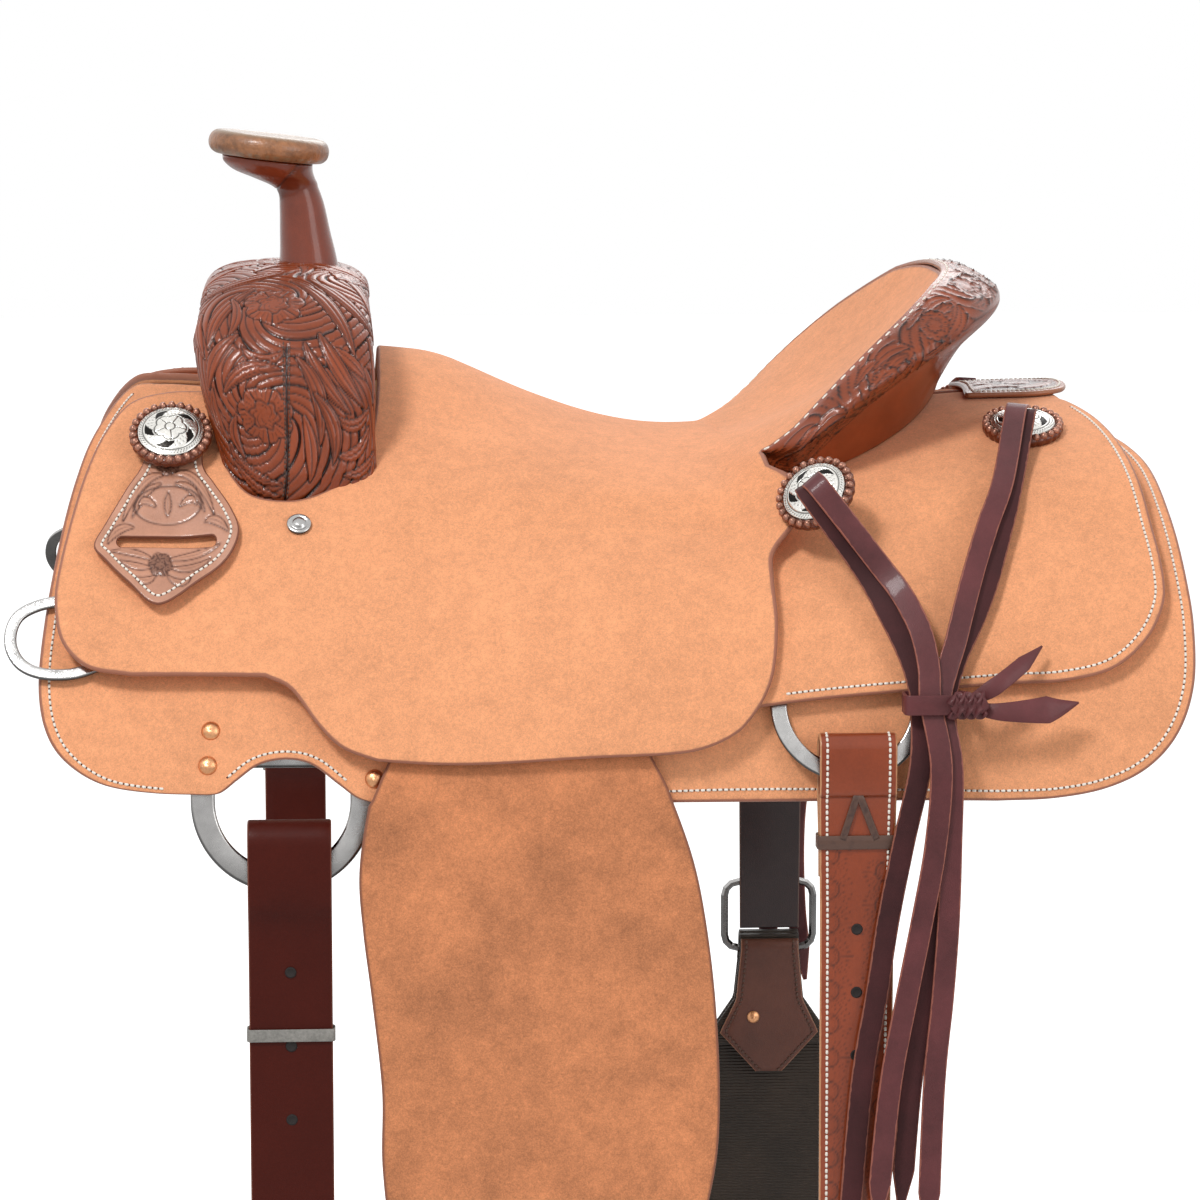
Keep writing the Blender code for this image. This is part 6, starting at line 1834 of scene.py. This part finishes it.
for word, run, hand in (("outer", path[1:6], -1), ("inner", path[-5:-1][::-1], 1)):
    run = [(y + hand * CHAPE_LIFT, z) for y, z in run]
    run[0] = (run[0][0], CHAPE_TIP)
    line = smooth_line([(FLANK_X, -y, z) for y, z in run], 0.003)
    wide = np.interp(line[:, 2], [CHAPE_TIP, -0.440, -0.415, -0.377], [0.020, 0.074, 0.050, 0.043])
    joined(carried("cinch_chape_" + word, line, (1, 0, 0),
                   rounded(0.074, 0.0022, 0.0008, 4, across=10), chape_hide, widths=wide), girth)
    if hand > 0:
        out = np.broadcast_to([0.0, -1.0, 0.0], line.shape)
        for edge in (-1, 1):
            row = line + np.outer(edge * (wide / 2 - 0.004), (1, 0, 0)) - [0, 0.0013, 0]
            joined(stitched("cinch_chape_stitches_%d" % (edge + 2), row, out, dark_thread), girth)
    joined(turned("cinch_rivet_" + word, DOME * CINCH_RIVET,
                  (FLANK_X - 0.012, line[len(line) // 2, 1] - hand * 0.0010, -0.428),
                  (0, -hand, 0), copper), girth)


# Saddle strings
# Flat plum thongs drawn through the middle and rear conchos, hanging down each skirt, held
# together halfway by a braided tie.

STRING_WIDTH, STRING_THICK = 0.014, 0.0024
string_hide = oiled("plum_thong", (0.104, 0.026, 0.028), (0.045, 0.012, 0.012),
                    (0.30, 0.10, 0.07), 0.46, coat=0.08, rag=0.0014, edge_width=0.0006, patch=0.30)
string_flesh = oiled("thong_flesh_side", (0.050, 0.011, 0.012), (0.03, 0.008, 0.008),
                     (0.26, 0.09, 0.06), 0.70, coat=0.0, rag=0.0014, edge_width=0.0006, patch=0.30)
STRING_ROUTES = {
    "string_mid_a": [(159, 224, 41), (172, 243, 39), (181, 261, 37), (185, 275, 35.5),
                     (187, 290, 34), (187, 307, 34)],
    "string_mid_b": [(150, 224, 35), (164, 252, 30.5), (175, 276, 27.5), (180, 292, 26.6),
                     (182, 307, 26.6)],
    "string_rear_a": [(245, 157, 34), (232, 189, 33), (221, 218, 33), (212, 245, 32),
                      (204, 271, 31), (198, 288, 30.4), (194, 307, 30.4)],
    "string_rear_b": [(250, 160, 28.5), (239, 195, 26), (228, 228, 26), (217, 254, 26),
                      (204, 281, 26.2), (197.2, 307, 26.4)],
}
STRING_TAILS = {
    ("string_mid_a", -1): [(193, -140, 286), (190, -189, 286), (182, -237, 286), (173, -285, 286),
                           (163, -343, 286), (155, -430, 286)],
    ("string_mid_b", -1): [(181, -140, 279), (171, -189, 279), (162, -237, 279), (155, -285, 279),
                           (146, -343, 279), (138, -446, 279)],
    ("string_rear_a", -1): [(200, -140, 282.5), (200, -189, 282.5), (199, -237, 282.5),
                            (196, -285, 282.5), (191, -343, 282.5), (188, -438, 282.5)],
    ("string_rear_b", -1): [(198, -140, 279), (196, -189, 279), (191, -237, 279),
                            (185, -285, 279), (177, -343, 279), (171, -424, 279)],
    ("string_mid_a", 1): [(176, -150, 294), (156, -215, 294.5), (147, -275, 294.5),
                          (146, -345, 294.5), (139, -424, 294.5)],
    ("string_rear_a", 1): [(195, -150, 288), (176, -215, 290), (165, -275, 290.5),
                           (165, -345, 290.5), (172, -405, 290.5)],
}
STRING_HEADS = {"string_mid_a": ("mid_concho", 0.003, 0.0108),
                "string_mid_b": ("mid_concho", -0.003, 0.0046),
                "string_rear_a": ("rear_concho", -0.003, 0.0078),
                "string_rear_b": ("rear_concho", 0.002, 0.0042)}


def thong_across(path, normal):
    """The width direction of a thong: flat on its concho, then facing out as it hangs."""
    rise = np.clip((path[:, 2] + 0.02) / 0.06, 0, 1)
    outward = unit(np.stack([0 * rise, np.sign(path[:, 1]), rise], 1))
    near = np.exp(-((np.linalg.norm(path - path[0], axis=1) / 0.045) ** 2))[:, None]
    return unit(np.cross(outward * (1 - near) + normal * near, np.gradient(path, axis=0)))


def laid_over(spots):
    """Points of (x, s, level) over the form in millimetres, taken where y is positive."""
    points = np.array([on_form(*np.array(spot) * MM) for spot in spots])
    points[:, 1] = np.abs(points[:, 1])
    return points


for (stem, side), tail in STRING_TAILS.items():
    word = "near" if side < 0 else "off"
    head, aside, rise = STRING_HEADS[stem]
    place, normal = concho_frames[head]
    place, normal = on_side(place, np.sign(place[1])), on_side(normal, np.sign(place[1]))
    route = laid_over(STRING_ROUTES[stem])
    away = route[0] - place
    away = unit(away - normal * (away @ normal))
    rise = rise if side < 0 else 0.0036
    points = [place + [aside, 0, 0] + normal * (CONCHO_HEIGHT + rise) + away * fall
              for fall in (0.003, 0.016)]
    points += [*route] + [np.array((x, y, z)) * MM for x, z, y in tail]
    path = on_side(smooth_line(points, 0.0045), side)
    left = lengths(path)[-1] - lengths(path)
    thong = carried("%s_thong_%s" % (stem, word), path, thong_across(path, on_side(normal, side)),
                    rounded(STRING_WIDTH, STRING_THICK, 0.0008, 4, across=6),
                    string_flesh if "_b" in stem else string_hide,
                    widths=np.minimum(STRING_WIDTH, 0.003 + left * 0.42))
    dressed(thong, "%s_%s" % (stem, word))
TIE_MIDDLE = laid_over([(190.2, 307, 30.4)])[0]
TIE_TAILS = ([(212, 305, 32), (226, 297, 37), (243, 284, 34), (258, 270, 28)],
             [(214, 309, 32), (228, 311, 35), (248, 310, 33), (264, 308, 30), (279, 304, 27)])
for side, word in SIDES:
    loop = level_loop(TIE_MIDDLE, rounded(0.0375, 0.0180, 0.003, 6, across=4))
    tie = carried("string_tie_band_" + word, on_side(loop, side), (0, 0, 1),
                  rounded(0.0125, 0.0020, 0.0007, 4), string_hide, closed=True,
                  values={"edge": np.full(len(loop) * 16, NO_EDGE)})
    dressed(tie, "string_tie_" + word)
    t = np.linspace(0, 1, 60)
    for strand in range(3):
        phase = 2 * math.pi * (1.25 * t + strand / 3)
        braid = TIE_MIDDLE + np.stack([0.0085 + 0.021 * t, 0.0118 + 0.0014 * np.cos(2 * phase),
                                       0.0052 * np.sin(phase)], 1)
        joined(carried("string_tie_braid_%d_%s" % (strand + 1, word), on_side(braid, side),
                       (0.3, 0, 1), rounded(0.0072, 0.0020, 0.0007, 3), string_hide,
                       values={"edge": np.full(len(braid) * 12, NO_EDGE)}), tie)
    for number, spots in enumerate(TIE_TAILS, 1):
        line = smooth_line(laid_over(spots), 0.002)
        across = np.cross((0.0, 1.0, 0.25), np.gradient(line, axis=0))
        taper = np.interp(np.linspace(0, 1, len(line)), [0, 0.25, 0.7, 1],
                          [0.007, 0.011, 0.010 if number == 1 else 0.017, 0.0012])
        joined(carried("string_tie_tail_%d_%s" % (number, word), on_side(line, side),
                       on_side(across, side), rounded(0.017, 0.0018, 0.0006, 3), string_hide,
                       widths=taper, values={"edge": np.full(len(line) * 12, NO_EDGE)}), tie)
